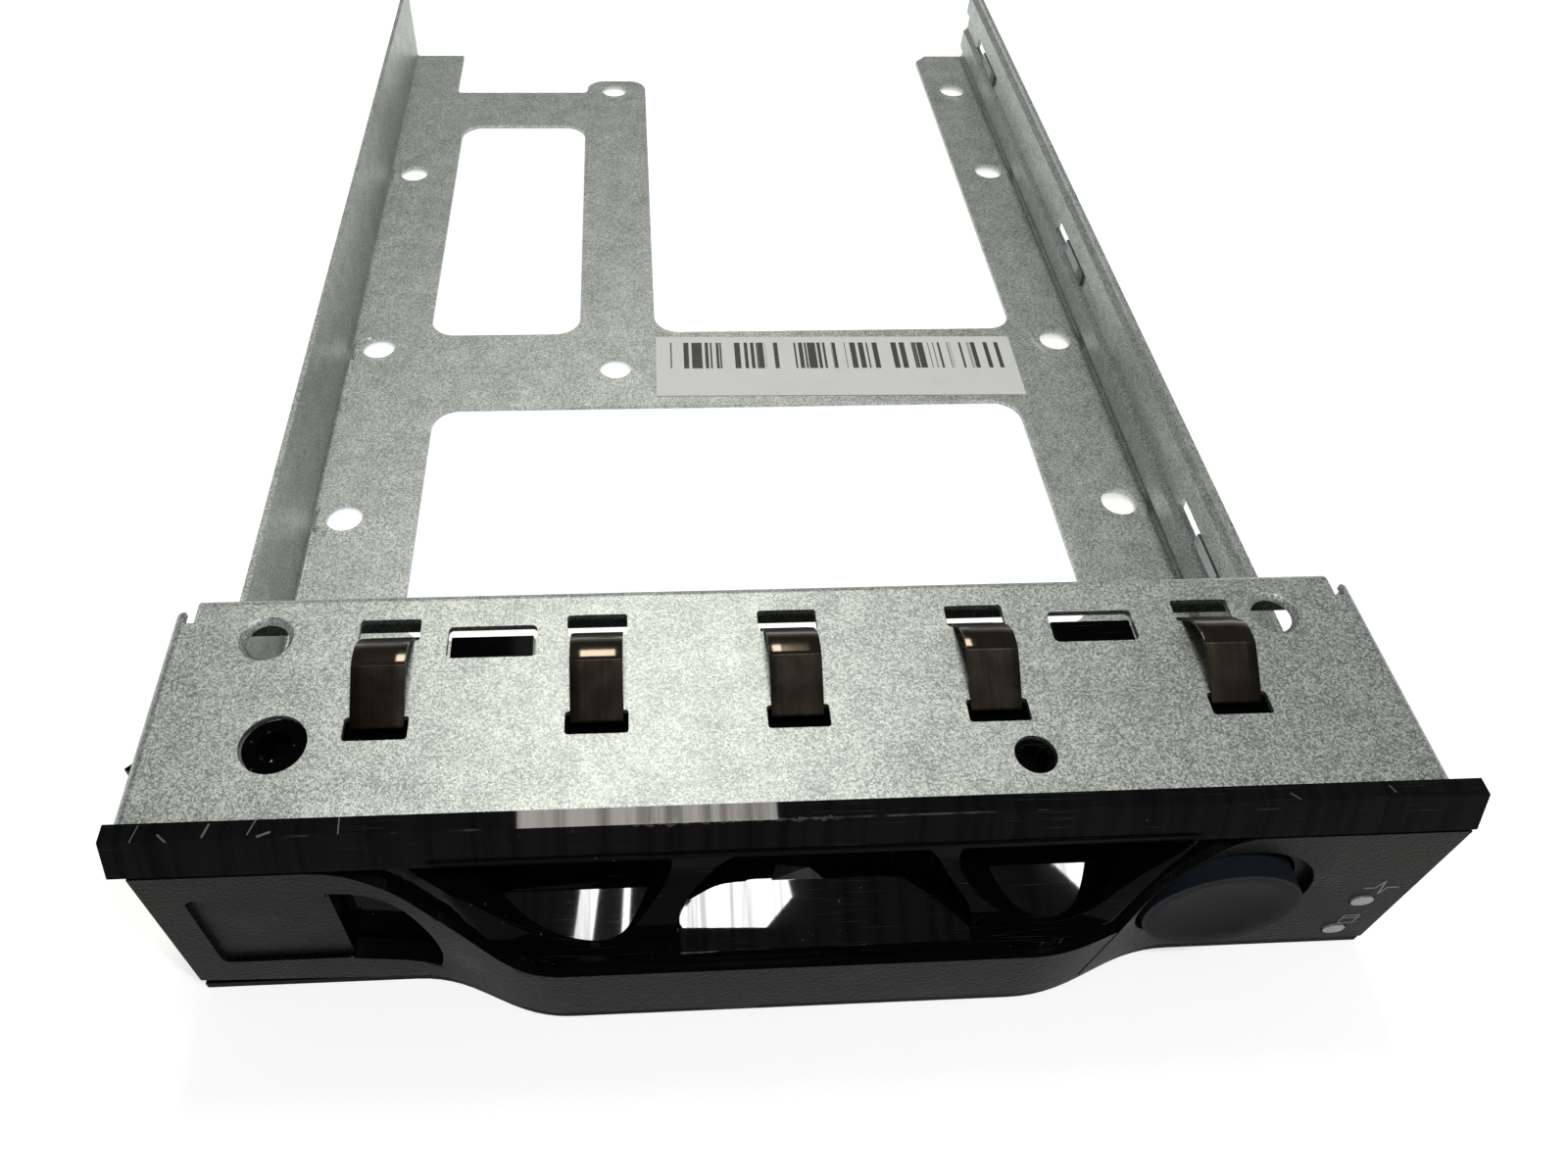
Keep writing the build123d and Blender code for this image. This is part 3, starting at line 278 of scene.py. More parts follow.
class Graph(Nodes):
    """Node tree of one material, with Object coordinates and the faces' directions at hand."""

    def __init__(self, name: str) -> None:
        """Makes the material and its shader.

        Args:
            name: The material's name.
        """
        self.material = bpy.data.materials.new(name)
        self.material.use_nodes = True
        super().__init__(self.material.node_tree)
        self.tree.nodes.clear()
        out = self.tree.nodes.new("ShaderNodeOutputMaterial")
        self.shader = self.tree.nodes.new("ShaderNodeBsdfPrincipled")
        self.tree.links.new(self.shader.outputs["BSDF"], out.inputs["Surface"])
        self.position = self.node("ShaderNodeTexCoord", {}, {}, "Object")
        self.x, self.y, self.z = (self.axis(self.position, name) / MM for name in "XYZ")
        facing = self.node("ShaderNodeNewGeometry", {}, {}, "True Normal")
        self.facing_y, self.facing_z = (self.axis(facing, name) for name in "YZ")

    def stretched(self, scale: Point, turn: Point = (0.0, 0.0, 0.0)) -> Wire:
        """Object coordinates in millimetres, turned and stretched.

        Args:
            scale: Factor along each axis.
            turn: Angles in radians.

        Returns:
            The coordinates.
        """
        return self.node("ShaderNodeMapping", {"vector_type": "POINT"},
                         {"Vector": self.position, "Rotation": turn,
                          "Scale": tuple(s / MM for s in scale)})

    def noise(self, size: Number, detail: Number = 3.0, rough: Number = 0.55,
              where: Wire | None = None) -> Wire:
        """Noise whose features are about this many millimetres.

        Args:
            size: Feature size in millimetres.
            detail: Octaves.
            rough: How strong the fine octaves are.
            where: Coordinates in millimetres, or none for Object coordinates.

        Returns:
            A value around 0.5.
        """
        place = where or self.stretched((1.0, 1.0, 1.0))
        return self.node("ShaderNodeTexNoise", {"noise_dimensions": "3D"},
                         {"Vector": place, "Scale": 1.0 / size, "Detail": detail, "Roughness": rough})

    def cells(self, size: Number, feature: str, output: int | str, where: Wire | None = None) -> Wire:
        """Cell pattern.

        Args:
            size: Cell size in millimetres.
            feature: The Voronoi feature.
            output: Which output is wanted.
            where: Coordinates in millimetres, or none for Object coordinates.

        Returns:
            That output.
        """
        place = where or self.stretched((1.0, 1.0, 1.0))
        return self.node("ShaderNodeTexVoronoi", {"feature": feature},
                         {"Vector": place, "Scale": 1.0 / size}, output)

    def blend(self, factor: Wire | Number, first: Wire | Colour, second: Wire | Colour) -> Wire:
        """Mixes two colours.

        Args:
            factor: Share of the second.
            first: A colour.
            second: A colour.

        Returns:
            The mixed colour.
        """
        return self.node("ShaderNodeMix", {"data_type": "RGBA"}, {0: factor, 6: first, 7: second}, 2)

    def scratches(self, length: Number, width: Number, amount: Number, heading: Number) -> Wire:
        """Sparse thin scratches.

        Args:
            length: Length of a scratch in millimetres.
            width: Width in millimetres.
            amount: Share of the noise that counts, from 0 to 1.
            heading: Angle of the scratches seen from above, in radians.

        Returns:
            A mask.
        """
        place = self.stretched((1.0 / length, 1.0 / width, 1.0 / length), (0.0, 0.0, heading))
        lines = self.noise(1.0, 1.0, 0.5, place)
        patches = self.noise(length * 1.7, 1.0)
        return lines.above(1.0 - amount, 1.02 - amount) * patches.above(0.5, 0.62)

    def stroke(self, start: Span, end: Span, width: Number) -> Wire:
        """A straight mark on a face seen from above.

        Args:
            start: X and Y of one end in millimetres.
            end: X and Y of the other end.
            width: Half width in millimetres.

        Returns:
            A mask with a ragged edge.
        """
        dx, dy = end[0] - start[0], end[1] - start[1]
        length = math.hypot(dx, dy)
        across = self.x - start[0]
        back = self.y - start[1]
        share = (across * (dx / length ** 2) + back * (dy / length ** 2)).maths("MAXIMUM", 0.0)
        share = share.maths("MINIMUM", 1.0)
        off_x = across - share * dx
        off_y = back - share * dy
        away = (off_x * off_x + off_y * off_y) ** 0.5
        return (away - self.noise(0.4, 2.0) * width).below(width * 0.3, width * 0.8)

    def bump(self, height: Wire, strength: Number, depth: Number, under: Wire | None = None) -> Wire:
        """Turns a height pattern into a normal.

        Args:
            height: The height pattern.
            strength: How much of it tells, from 0 to 1.
            depth: Depth in millimetres.
            under: A normal to build on.

        Returns:
            The normal.
        """
        inputs = {"Height": height, "Strength": strength, "Distance": depth * MM}
        if under is not None:
            inputs["Normal"] = under
        return self.node("ShaderNodeBump", {}, inputs)

    def set(self, **values: "Wire | Number | Colour") -> "Graph":
        """Sets the shader's sockets; a double underscore stands for a space.

        Args:
            values: Socket names and what they get.

        Returns:
            The graph itself.
        """
        for key, value in values.items():
            self.feed(self.shader.inputs[key.replace("__", " ")], value)
        return self


@dataclass(frozen=True)
class GalvanisedSheet:
    """Zinc coated sheet: fine sparkling grain, cloudy mottling, rolling streaks and a few dark specks."""

    name: str = "galvanised sheet"
    base: Colour = (0.39, 0.43, 0.41)
    dark: Colour = (0.195, 0.224, 0.218)
    bright: Colour = (0.67, 0.70, 0.66)
    grain: float = 0.16
    sparkle: float = 0.14
    mottle: float = 3.2
    rolling: Point = (0.18, 0.04, 0.18)
    tones: Span = (0.8, 2.1)
    specks: Span = (0.68, 0.74)
    speck_size: float = 0.9
    speck_share: float = 0.45
    metallic: float = 0.92
    roughness: float = 0.35

    def make(self) -> bpy.types.Material:
        """Builds the material.

        Returns:
            The material.
        """
        g = Graph(self.name)
        grains = g.cells(self.grain, "F1", "Color")
        grain = g.node("ShaderNodeSeparateColor", {}, {"Color": grains})
        fine = g.noise(self.sparkle, 1.0, 0.6)
        cloud = g.noise(self.mottle, 3.0, 0.55)
        streak = g.noise(1.0, 2.0, 0.5, g.stretched(self.rolling))
        tone = (grain * 0.7 + fine * 1.5 + cloud * 0.5 + streak * 0.2).above(*self.tones)
        stops = [(0.0, self.dark), (0.5, self.base), (1.0, self.bright)]
        colour = g.node("ShaderNodeValToRGB", {"stops": stops}, {"Fac": tone})
        speck = g.noise(self.speck_size, 2.0, 0.5).above(*self.specks) * cloud.below(0.42, 0.52)
        colour = g.blend(speck * self.speck_share, colour, self.dark)
        pits = g.bump(fine, 0.3, 0.05)
        g.set(Base__Color=colour, Metallic=self.metallic,
              Roughness=self.roughness + grain * 0.08 + fine * 0.1, Normal=g.bump(grain, 0.22, 0.03, pits))
        return g.material


@dataclass(frozen=True)
class DarkNickel:
    """Dark spring strip, faintly drawn along its length: a rough, dark body and a less rough bronze grey
    crown band, painted paler as a highlight.
    """

    name: str = "dark nickel spring"
    # base is the crown band's colour, painted paler as a highlight; body is the rest of the strip
    base: Colour = (0.075, 0.064, 0.048)
    body: Colour = (0.008, 0.0065, 0.0045)
    pale: Colour = (0.1, 0.088, 0.07)
    crown: Span = (11.7, 14.2)
    crown_edge: float = 0.2
    drawing: Point = (3.2, 0.16, 0.16)
    roughness: float = 0.42
    polish: float = 0.33

    def make(self) -> bpy.types.Material:
        """Builds the material.

        Returns:
            The material.
        """
        g = Graph(self.name)
        drawn = g.noise(1.0, 2.0, 0.5, g.stretched(self.drawing))
        cloud = g.noise(2.2, 2.0)
        front, rear = self.crown
        # The crown band is less rough and is painted paler: a painted highlight on top of its polish.
        polish_and_painted_light = g.y.within(station(front), station(rear), self.crown_edge)
        peel = g.noise(0.5, 2.0, 0.6) * polish_and_painted_light
        tone = (drawn * 0.45 + cloud * 0.6).above(0.35, 0.8)
        colour = g.blend(polish_and_painted_light, self.body, self.base)
        g.set(Base__Color=g.blend(tone * (0.1 + polish_and_painted_light * 0.5), colour, self.pale), Metallic=1.0,
              Roughness=self.roughness - polish_and_painted_light * self.polish + drawn * 0.06,
              Normal=g.bump(peel, 0.08, 0.01, g.bump(drawn, 0.04, 0.01)))
        return g.material


@dataclass(frozen=True)
class GlossBlack:
    """Polished black moulding: hair scratches, dust, a top bar whose crest is painted paler, partly scuffed
    wear and partly a painted edge highlight, and a clear coat facing upwards.
    """

    name: str = "gloss black moulding"
    base: Colour = (0.0015, 0.0015, 0.0018)
    dust: Colour = (0.12, 0.12, 0.125)
    # pale colour of the crest band and the gouges: scuffed wear, with a painted edge highlight along the
    # crest
    scuff_and_highlight: Colour = (0.1, 0.1, 0.097)
    roughness: float = 0.05
    ior: float = 1.05
    coat_ior: float = 1.38
    coat_roughness: float = 0.02
    coat_slope: Span = (0.3, 0.6)
    coat_end: Span = (-0.4, -0.2)
    streaks: Point = (0.9, 0.03, 0.03)
    crest: Span = (-2.6, 25.2)
    rubbed: Span = (-36.0, 16.0)
    ragged: Span = (-12.0, 1.0)
    gouges: tuple[tuple[float, ...], ...] = (
        (-50.2, -1.3, -50.5, -2.6, 0.04), (-48.6, -2.1, -47.9, -2.7, 0.06), (-45.0, -1.4, -45.3, -2.4, 0.08),
        (-41.6, -1.2, -42.0, -2.3, 0.05), (-41.2, -2.5, -40.4, -2.2, 0.09), (-35.4, -1.1, -35.3, -2.5, 0.05),
        (38.4, -1.9, 39.0, -2.4, 0.04), (46.6, -1.5, 46.9, -2.1, 0.04))

    def make(self) -> bpy.types.Material:
        """Builds the material.

        Returns:
            The material.
        """
        g = Graph(self.name)
        hair = g.scratches(9.0, 0.07, 0.3, 0.5) + g.scratches(7.0, 0.06, 0.3, -0.7)
        specks = g.cells(1.3, "F1", "Distance").below(0.05, 0.09) * g.noise(9.0).above(0.5, 0.6)
        marks = (hair * 0.5 + specks).maths("MINIMUM", 1.0)
        smear = g.noise(7.0, 3.0).above(0.45, 0.75)
        wear_and_highlight = self.bar_wear_and_highlight(g)
        colour = g.blend(marks * 0.35, self.base, self.dust)
        # The crest band is painted pale: scuffed wear together with a painted edge highlight.
        g.set(Base__Color=g.blend(wear_and_highlight, colour, self.scuff_and_highlight),
              Roughness=self.roughness + marks * 0.3 + smear * 0.04 + wear_and_highlight * 0.4,
              Coat__Weight=self.coated(g), Coat__Roughness=self.coat_roughness, Coat__IOR=self.coat_ior,
              IOR=self.ior, Normal=g.bump(g.noise(16.0, 1.0), 0.04, 0.4))
        return g.material

    def coated(self, g: Graph) -> Wire:
        """Streaky coat on the faces that look upwards, in front of the bracket.

        Args:
            g: The material's graph.

        Returns:
            The mask.
        """
        start, end = self.coat_end
        streaks = g.noise(1.0, 3.0, 0.6, g.stretched(self.streaks)).above(0.3, 0.62) * 0.6 + 0.4
        return g.facing_z.above(*self.coat_slope) * g.y.below(station(start), station(end)) * streaks

    def bar_wear_and_highlight(self, g: Graph) -> Wire:
        """Paler crest of the top bar, partly scuffed wear and partly a painted edge highlight, and the gouges
        on its top.

        Args:
            g: The material's graph.

        Returns:
            The mask.
        """
        crest_y, crest_z = self.crest
        behind = g.y - station(crest_y)
        under = g.z - crest_z
        away = (behind * behind + under * under) ** 0.5
        fray = g.noise(0.9, 4.0, 0.7)
        patch = g.x.within(*self.ragged, 3.0)
        edge = (away - fray * 0.1 - patch * (fray - 0.5) * 1.6).below(0.02, 0.06)
        edge = edge * g.noise(5.0, 2.0).above(0.45, 0.55).maths("MAXIMUM", patch)
        marks = edge * g.x.within(*self.rubbed, 4.0) * 0.45
        top = g.z.above(crest_z - 0.2, crest_z - 0.1)
        for x0, y0, x1, y1, width in self.gouges:
            marks = marks.maths("MAXIMUM", g.stroke((x0, station(y0)), (x1, station(y1)), width) * top)
        return marks


@dataclass(frozen=True)
class GrainedBlack:
    """Dark moulding with a fine spark eroded grain, smooth on its upward faces and in the button's pocket,
    where it is also painted darker as shade.
    """

    name: str = "grained black moulding"
    base: Colour = (0.0035, 0.0035, 0.0032)
    pale: Colour = (0.0108, 0.0108, 0.0096)
    # smooth is the darker colour painted on the upward faces and in the pocket: painted shade
    smooth: Colour = (0.002, 0.002, 0.0022)
    lint: Colour = (0.14, 0.14, 0.13)
    grain: float = 0.34
    roughness: float = 0.4
    ior: float = 1.12
    pocket_sides: Span = (-37.8, -29.4)
    pocket_ends: Span = (3.4, 18.2)

    def make(self) -> bpy.types.Material:
        """Builds the material.

        Returns:
            The material.
        """
        g = Graph(self.name)
        pebble = g.cells(self.grain, "SMOOTH_F1", "Distance")
        fine = g.noise(self.grain * 0.7, 2.0)
        rubbed = g.noise(8.0, 3.0).above(0.5, 0.75)
        lint = g.cells(1.7, "F1", "Distance").below(0.03, 0.06) * g.noise(7.0).above(0.52, 0.6)
        tone = (pebble * 0.6 + fine * 0.7).above(0.3, 0.95)
        colour = g.blend(lint * 0.5, g.blend(tone, self.base, self.pale), self.lint)
        # The pocket and the upward faces are smoother and painted darker: painted shade.
        pocket = g.x.within(*self.pocket_sides, 0.1) * g.z.within(*self.pocket_ends, 0.1)
        polish_and_painted_light = pocket * g.facing_y.above(-0.6, -0.5)
        polish_and_painted_light = polish_and_painted_light.maths("MAXIMUM", g.facing_z.above(0.6, 0.8))
        g.set(Base__Color=g.blend(polish_and_painted_light, colour, self.smooth),
              Roughness=(self.roughness - rubbed * 0.08 + fine * 0.1) * (1.0 - polish_and_painted_light * 0.7), IOR=self.ior,
              Normal=g.bump((pebble + fine * 0.5) * (1.0 - polish_and_painted_light), 0.6, 0.07))
        return g.material


@dataclass(frozen=True)
class ButtonSatin:
    """Blue grey satin button with a paler, bluer ring at its outer edge: a painted highlight."""

    name: str = "satin button"
    base: Colour = (0.0045, 0.0048, 0.0045)
    # colour of the paler, bluer ring at the outer edge, a painted highlight; a little of it is also mixed
    # into the cloud
    rim_highlight_tone: Colour = (0.011, 0.0145, 0.02)
    centre: Span = (36.5, 11.5)
    radius: float = 6.6
    rim_highlight_width: float = 0.35
    ior: float = 1.09

    def make(self) -> bpy.types.Material:
        """Builds the material.

        Returns:
            The material.
        """
        g = Graph(self.name)
        fine = g.noise(0.25, 2.0)
        cloud = g.noise(3.0, 3.0)
        across = g.x - self.centre[0]
        up = g.z - self.centre[1]
        out = (across * across + up * up) ** 0.5
        # A paler, bluer ring at the outer edge: a painted highlight.
        edge = (out + fine * 0.3).above(self.radius - self.rim_highlight_width, self.radius)
        colour = g.blend(cloud.above(0.4, 0.7) * 0.2, self.base, self.rim_highlight_tone)
        g.set(Base__Color=g.blend(edge * 0.7, colour, self.rim_highlight_tone), Roughness=0.4 + fine * 0.12, IOR=self.ior,
              Normal=g.bump(fine, 0.2, 0.03))
        return g.material


@dataclass(frozen=True)
class BrightSteel:
    """Turned or upset steel of the rivets and pins."""

    name: str
    base: Colour = (0.5, 0.5, 0.49)
    turning: Point = (1.2, 1.2, 8.0)
    spot_tone: float = 0.6

    def make(self) -> bpy.types.Material:
        """Builds the material.

        Returns:
            The material.
        """
        g = Graph(self.name)
        turned = g.noise(1.0, 2.0, 0.5, g.stretched(self.turning))
        spots = g.noise(0.6, 3.0)
        darker = tuple(channel * self.spot_tone for channel in self.base)
        colour = g.blend(spots.above(0.4, 0.7) * 0.5, self.base, darker)
        g.set(Base__Color=colour, Metallic=1.0, Roughness=0.24 + turned * 0.18,
              Normal=g.bump(turned, 0.15, 0.02))
        return g.material


@dataclass(frozen=True)
class LatchBlack:
    """Natural matt black of the hidden latch."""

    name: str = "latch moulding"
    base: Colour = (0.016, 0.016, 0.017)
    pale: Colour = (0.035, 0.035, 0.037)

    def make(self) -> bpy.types.Material:
        """Builds the material.

        Returns:
            The material.
        """
        g = Graph(self.name)
        fine = g.noise(0.4, 3.0)
        cloud = g.noise(3.5, 2.0)
        g.set(Base__Color=g.blend(cloud.above(0.4, 0.7) * 0.5, self.base, self.pale),
              Roughness=0.5 + fine * 0.15, Normal=g.bump(fine, 0.2, 0.03))
        return g.material


@dataclass(frozen=True)
class ClearPipe:
    """Clear moulded light pipe with faint flow marks."""

    name: str = "clear light pipe"
    base: Colour = (0.42, 0.45, 0.45)
    cloudy: Colour = (0.36, 0.39, 0.4)
    clearness: float = 0.7
    ior: float = 1.49

    def make(self) -> bpy.types.Material:
        """Builds the material.

        Returns:
            The material.
        """
        g = Graph(self.name)
        flow = g.noise(2.2, 3.0)
        g.set(Base__Color=g.blend(flow.above(0.4, 0.7) * 0.3, self.base, self.cloudy),
              Roughness=0.12 + flow * 0.12, Normal=g.bump(flow, 0.05, 0.04),
              Transmission__Weight=self.clearness, IOR=self.ior)
        return g.material


@dataclass(frozen=True)
class LabelPaper:
    """White coated paper with generic upright bars, printed a little askew, and a bare foot."""

    name: str = "label paper"
    base: Colour = (0.60, 0.605, 0.585)
    soil_tone: float = 0.86
    ink: Colour = (0.035, 0.035, 0.037)
    worn_ink: Colour = (0.2, 0.2, 0.2)
    centre: Span = (15.8, -10.92)
    turn: float = -0.9
    bar_width: float = 0.46
    bars_across: Span = (-23.2, 23.4)
    bars_up: Span = (-0.6, 4.9)

    def make(self) -> bpy.types.Material:
        """Builds the material.

        Returns:
            The material.
        """
        g = Graph(self.name)
        cosine, sine = math.cos(math.radians(self.turn)), math.sin(math.radians(self.turn))
        u = (g.x - self.centre[0]) * cosine + (g.y - self.centre[1]) * sine
        v = (g.y - self.centre[1]) * cosine - (g.x - self.centre[0]) * sine
        along = g.node("ShaderNodeCombineXYZ", {}, {"X": u})
        bars = g.cells(self.bar_width, "F1", "Color", along)
        shade = g.node("ShaderNodeSeparateColor", {}, {"Color": bars})
        inked = shade.above(0.5, 0.52) * u.within(*self.bars_across, 0.03) * v.within(*self.bars_up, 0.03)
        fibre = g.noise(0.5, 4.0)
        soil = g.noise(6.0, 3.0).above(0.5, 0.8)
        paper = g.blend(soil * 0.4, self.base, tuple(channel * self.soil_tone for channel in self.base))
        faded = g.blend(fibre.above(0.55, 0.8) * 0.35, self.ink, self.worn_ink)
        g.set(Base__Color=g.blend(inked, paper, faded), Roughness=0.42 + fibre * 0.12,
              Normal=g.bump(fibre, 0.15, 0.02))
        return g.material


@dataclass(frozen=True)
class PrintWhite:
    """Pad printed pale ink of the pictograms."""

    name: str = "pale print"
    base: Colour = (0.2, 0.2, 0.195)
    thin_ink: Colour = (0.1, 0.1, 0.1)

    def make(self) -> bpy.types.Material:
        """Builds the material.

        Returns:
            The material.
        """
        g = Graph(self.name)
        thin = g.noise(0.18, 2.0)
        g.set(Base__Color=g.blend(thin.above(0.5, 0.75) * 0.6, self.base, self.thin_ink),
              Roughness=0.5 + thin * 0.1, Normal=g.bump(thin, 0.15, 0.01))
        return g.material


@dataclass
class Bench:
    """Working habits shared by the modelled pieces."""

    frame: dict[str, object]
    weld: float = 0.002
    flat_angle: float = 0.4
    smooth_angle: float = 35.0
    stroke_overlap: float = 0.8
    stroke_rounding: float = 0.3

    @staticmethod
    def clear() -> None:
        """Leaves edit mode and deselects everything."""
        if bpy.context.mode != "OBJECT":
            bpy.ops.object.mode_set(mode="OBJECT")
        bpy.ops.object.select_all(action="DESELECT")

    @classmethod
    def pick(cls, piece: bpy.types.Object) -> None:
        """Makes one object the only selected and active one.

        Args:
            piece: The object.
        """
        cls.clear()
        piece.select_set(True)
        bpy.context.view_layer.objects.active = piece

    def dress(self, node: str, material: bpy.types.Material) -> None:
        """Gives a CAD node its finish.

        Args:
            node: The node's name.
            material: The finish.
        """
        piece = self.frame["nodes"][node]
        for slot in piece.material_slots:
            slot.material = material
        LOG.info("%s: %s", node, material.name)

    def soften(self, node: str, name: str, material: bpy.types.Material, body: Body, slot: Slot,
               width: Number = 0.2, segments: int = 2, limit: Number = 32.0,
               shape: Callable[[bpy.types.Object], None] | None = None) -> bpy.types.Object:
        """Copies a moulding, merges it and rounds its edges, and lets it stand for the node.

        Args:
            node: The CAD node.
            name: The new piece's name.
            material: Its finish.
            body: What it rides on.
            slot: The record's slot; not used.
            width: Edge radius in millimetres.
            segments: Faces across an edge.
            limit: Edges bent more than this many degrees are rounded.
            shape: What else is done to the merged copy before the rounding.

        Returns:
            The piece.
        """
        source = self.frame["nodes"][node]
        piece = source.copy()
        piece.data = source.data.copy()
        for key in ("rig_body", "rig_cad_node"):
            if key in piece:
                del piece[key]
        piece.parent = None
        piece.name = name
        bpy.context.scene.collection.objects.link(piece)
        self.pick(piece)
        bpy.ops.mesh.customdata_custom_splitnormals_clear()
        bpy.ops.object.mode_set(mode="EDIT")
        bpy.ops.mesh.select_all(action="SELECT")
        bpy.ops.mesh.remove_doubles(threshold=self.weld * MM)
        bpy.ops.mesh.dissolve_limited(angle_limit=math.radians(self.flat_angle))
        bpy.ops.object.mode_set(mode="OBJECT")
        if shape is not None:
            shape(piece)
        rounding = piece.modifiers.new("edge rounding", "BEVEL")
        rounding.width = width * MM
        rounding.segments = segments
        rounding.limit_method = "ANGLE"
        rounding.angle_limit = math.radians(limit)
        rounding.use_clamp_overlap = True
        rounding.miter_outer = "MITER_ARC"
        bpy.ops.object.modifier_apply(modifier=rounding.name)
        self.flatten(piece)
        piece.data.materials.clear()
        piece.data.materials.append(material)
        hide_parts(node)
        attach(piece, body.value)
        LOG.info("%s: softened copy of %s, %d faces", name, node, len(piece.data.polygons))
        return piece

    def flatten(self, piece: bpy.types.Object) -> None:
        """Shades a piece smooth over its rounded edges while its large faces stay flat.

        Args:
            piece: The active piece.
        """
        bpy.ops.object.shade_smooth_by_angle(angle=math.radians(self.smooth_angle))
        weights = piece.modifiers.new("face weights", "WEIGHTED_NORMAL")
        weights.keep_sharp = True
        bpy.ops.object.modifier_apply(modifier=weights.name)

    def strokes(self, name: str, lines: tuple[tuple[float, ...], ...], width: Number, thickness: Number,
                face_y: Number, material: bpy.types.Material) -> bpy.types.Object:
        """Makes a printed mark on an upright face from straight strokes.

        Args:
            name: The piece's name.
            lines: Ends of each stroke, x and z in millimetres.
            width: Stroke width.
            thickness: Thickness of the print.
            face_y: Where the face stands.
            material: The ink.

        Returns:
            The piece.
        """
        made = []
        for x0, z0, x1, z1 in lines:
            length = math.hypot(x1 - x0, z1 - z0) + width * self.stroke_overlap
            bpy.ops.mesh.primitive_cube_add(
                size=1.0, location=((x0 + x1) / 2 * MM, face_y * MM, (z0 + z1) / 2 * MM),
                rotation=(0.0, -math.atan2(z1 - z0, x1 - x0), 0.0),
                scale=(length * MM, thickness * MM, width * MM))
            made.append(bpy.context.object)
        self.clear()
        for stroke in made:
            stroke.select_set(True)
        bpy.context.view_layer.objects.active = made[0]
        bpy.ops.object.join()
        bpy.ops.object.transform_apply(location=True, rotation=True, scale=True)
        piece = bpy.context.object
        piece.name = name
        rounding = piece.modifiers.new("stroke ends", "BEVEL")
        rounding.width = width * self.stroke_rounding * MM
        rounding.segments = 2
        bpy.ops.object.modifier_apply(modifier=rounding.name)
        piece.data.materials.append(material)
        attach(piece, Body.CARRIER.value)
        LOG.info("%s: %d strokes", name, len(lines))
        return piece


@dataclass
class SheetWork:
    """Tray, bracket and rivets."""

    bench: Bench
    edge: float = 0.1

    def build(self) -> None:
        """Rolls the sheared edges of the folded sheets a little, and dresses them and the rivets."""
        sheet = GalvanisedSheet().make()
        self.bench.soften("tray", "tray_sheet", sheet, Body.CARRIER, Slot.SHEET, self.edge)
        self.bench.soften("front_bracket", "bracket_sheet", sheet, Body.CARRIER, Slot.SHEET, self.edge)
        self.bench.dress("bracket_rivets", BrightSteel("rivet steel").make())


@dataclass
class SpringStrips:
    """The five contact strips: a ramp out of the rear slot, a crown and a free end over the front slot."""

    bench: Bench
    count: int = 5
    width: float = 4.4
    thickness: float = 0.22
    edge: float = 0.04
    profile: tuple[Span, ...] = (
        (17.5, 22.55), (16.9, 22.8), (16.4, 23.4), (16.15, 24.1), (15.8, 24.8), (15.1, 25.5), (14.4, 26.15),
        (13.85, 26.55), (13.35, 26.73), (12.8, 26.79), (12.3, 26.81), (11.8, 26.79), (11.4, 26.64),
        (9.9, 25.72), (9.0, 25.14), (8.1, 24.56), (7.3, 24.06))

    def build(self) -> None:
        """Models one strip and copies it to the middle of each strip's node."""
        nickel = DarkNickel().make()
        pattern = self.strip()
        for number in range(1, self.count + 1):
            node = f"emi_spring_{number}"
            low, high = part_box(node)
            piece = pattern.copy()
            piece.data = pattern.data.copy()
            piece.data.transform(Matrix.Translation(((low[0] + high[0]) / 2, 0.0, 0.0)))
            piece.name = f"spring_strip_{number}"
            bpy.context.scene.collection.objects.link(piece)
            piece.data.materials.append(nickel)
            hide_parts(node)
            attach(piece, Body.CARRIER.value)
            LOG.info("%s: %d faces", piece.name, len(piece.data.polygons))
        bpy.data.objects.remove(pattern)

    def strip(self) -> bpy.types.Object:
        """Extrudes a strip at x = 0 leg by leg, smooths it and gives it its thickness.

        Returns:
            The strip.
        """
        legs = [Vector((0.0, station(y) * MM, z * MM)) for y, z in self.profile]
        self.bench.clear()
        bpy.ops.mesh.primitive_plane_add(size=1.0)
        piece = bpy.context.object
        for vertex in piece.data.vertices:
            end = legs[1] if vertex.co.y < 0 else legs[0]
            side = math.copysign(self.width / 2, vertex.co.x)
            vertex.select = vertex.co.y < 0
            vertex.co = (side * MM, end.y, end.z)
        for part in (*piece.data.polygons, *piece.data.edges):
            part.select = False
        bpy.ops.object.mode_set(mode="EDIT")
        bpy.ops.mesh.select_mode(type="VERT")
        for start, end in zip(legs[1:], legs[2:]):
            bpy.ops.mesh.extrude_region_move(TRANSFORM_OT_translate={"value": end - start})
        bpy.ops.mesh.select_all(action="SELECT")
        bpy.ops.mesh.normals_make_consistent(inside=False)
        bpy.ops.object.mode_set(mode="OBJECT")
        smooth = piece.modifiers.new("smooth bends", "SUBSURF")
        smooth.levels = smooth.render_levels = 2
        smooth.boundary_smooth = "PRESERVE_CORNERS"
        sheet = piece.modifiers.new("strip thickness", "SOLIDIFY")
        sheet.thickness = self.thickness * MM
        sheet.offset = 0.0
        rounding = piece.modifiers.new("strip edges", "BEVEL")
        rounding.width = self.edge * MM
        rounding.segments = 2
        rounding.limit_method = "ANGLE"
        for name in (smooth.name, sheet.name, rounding.name):
            bpy.ops.object.modifier_apply(modifier=name)
        self.bench.flatten(piece)
        return piece


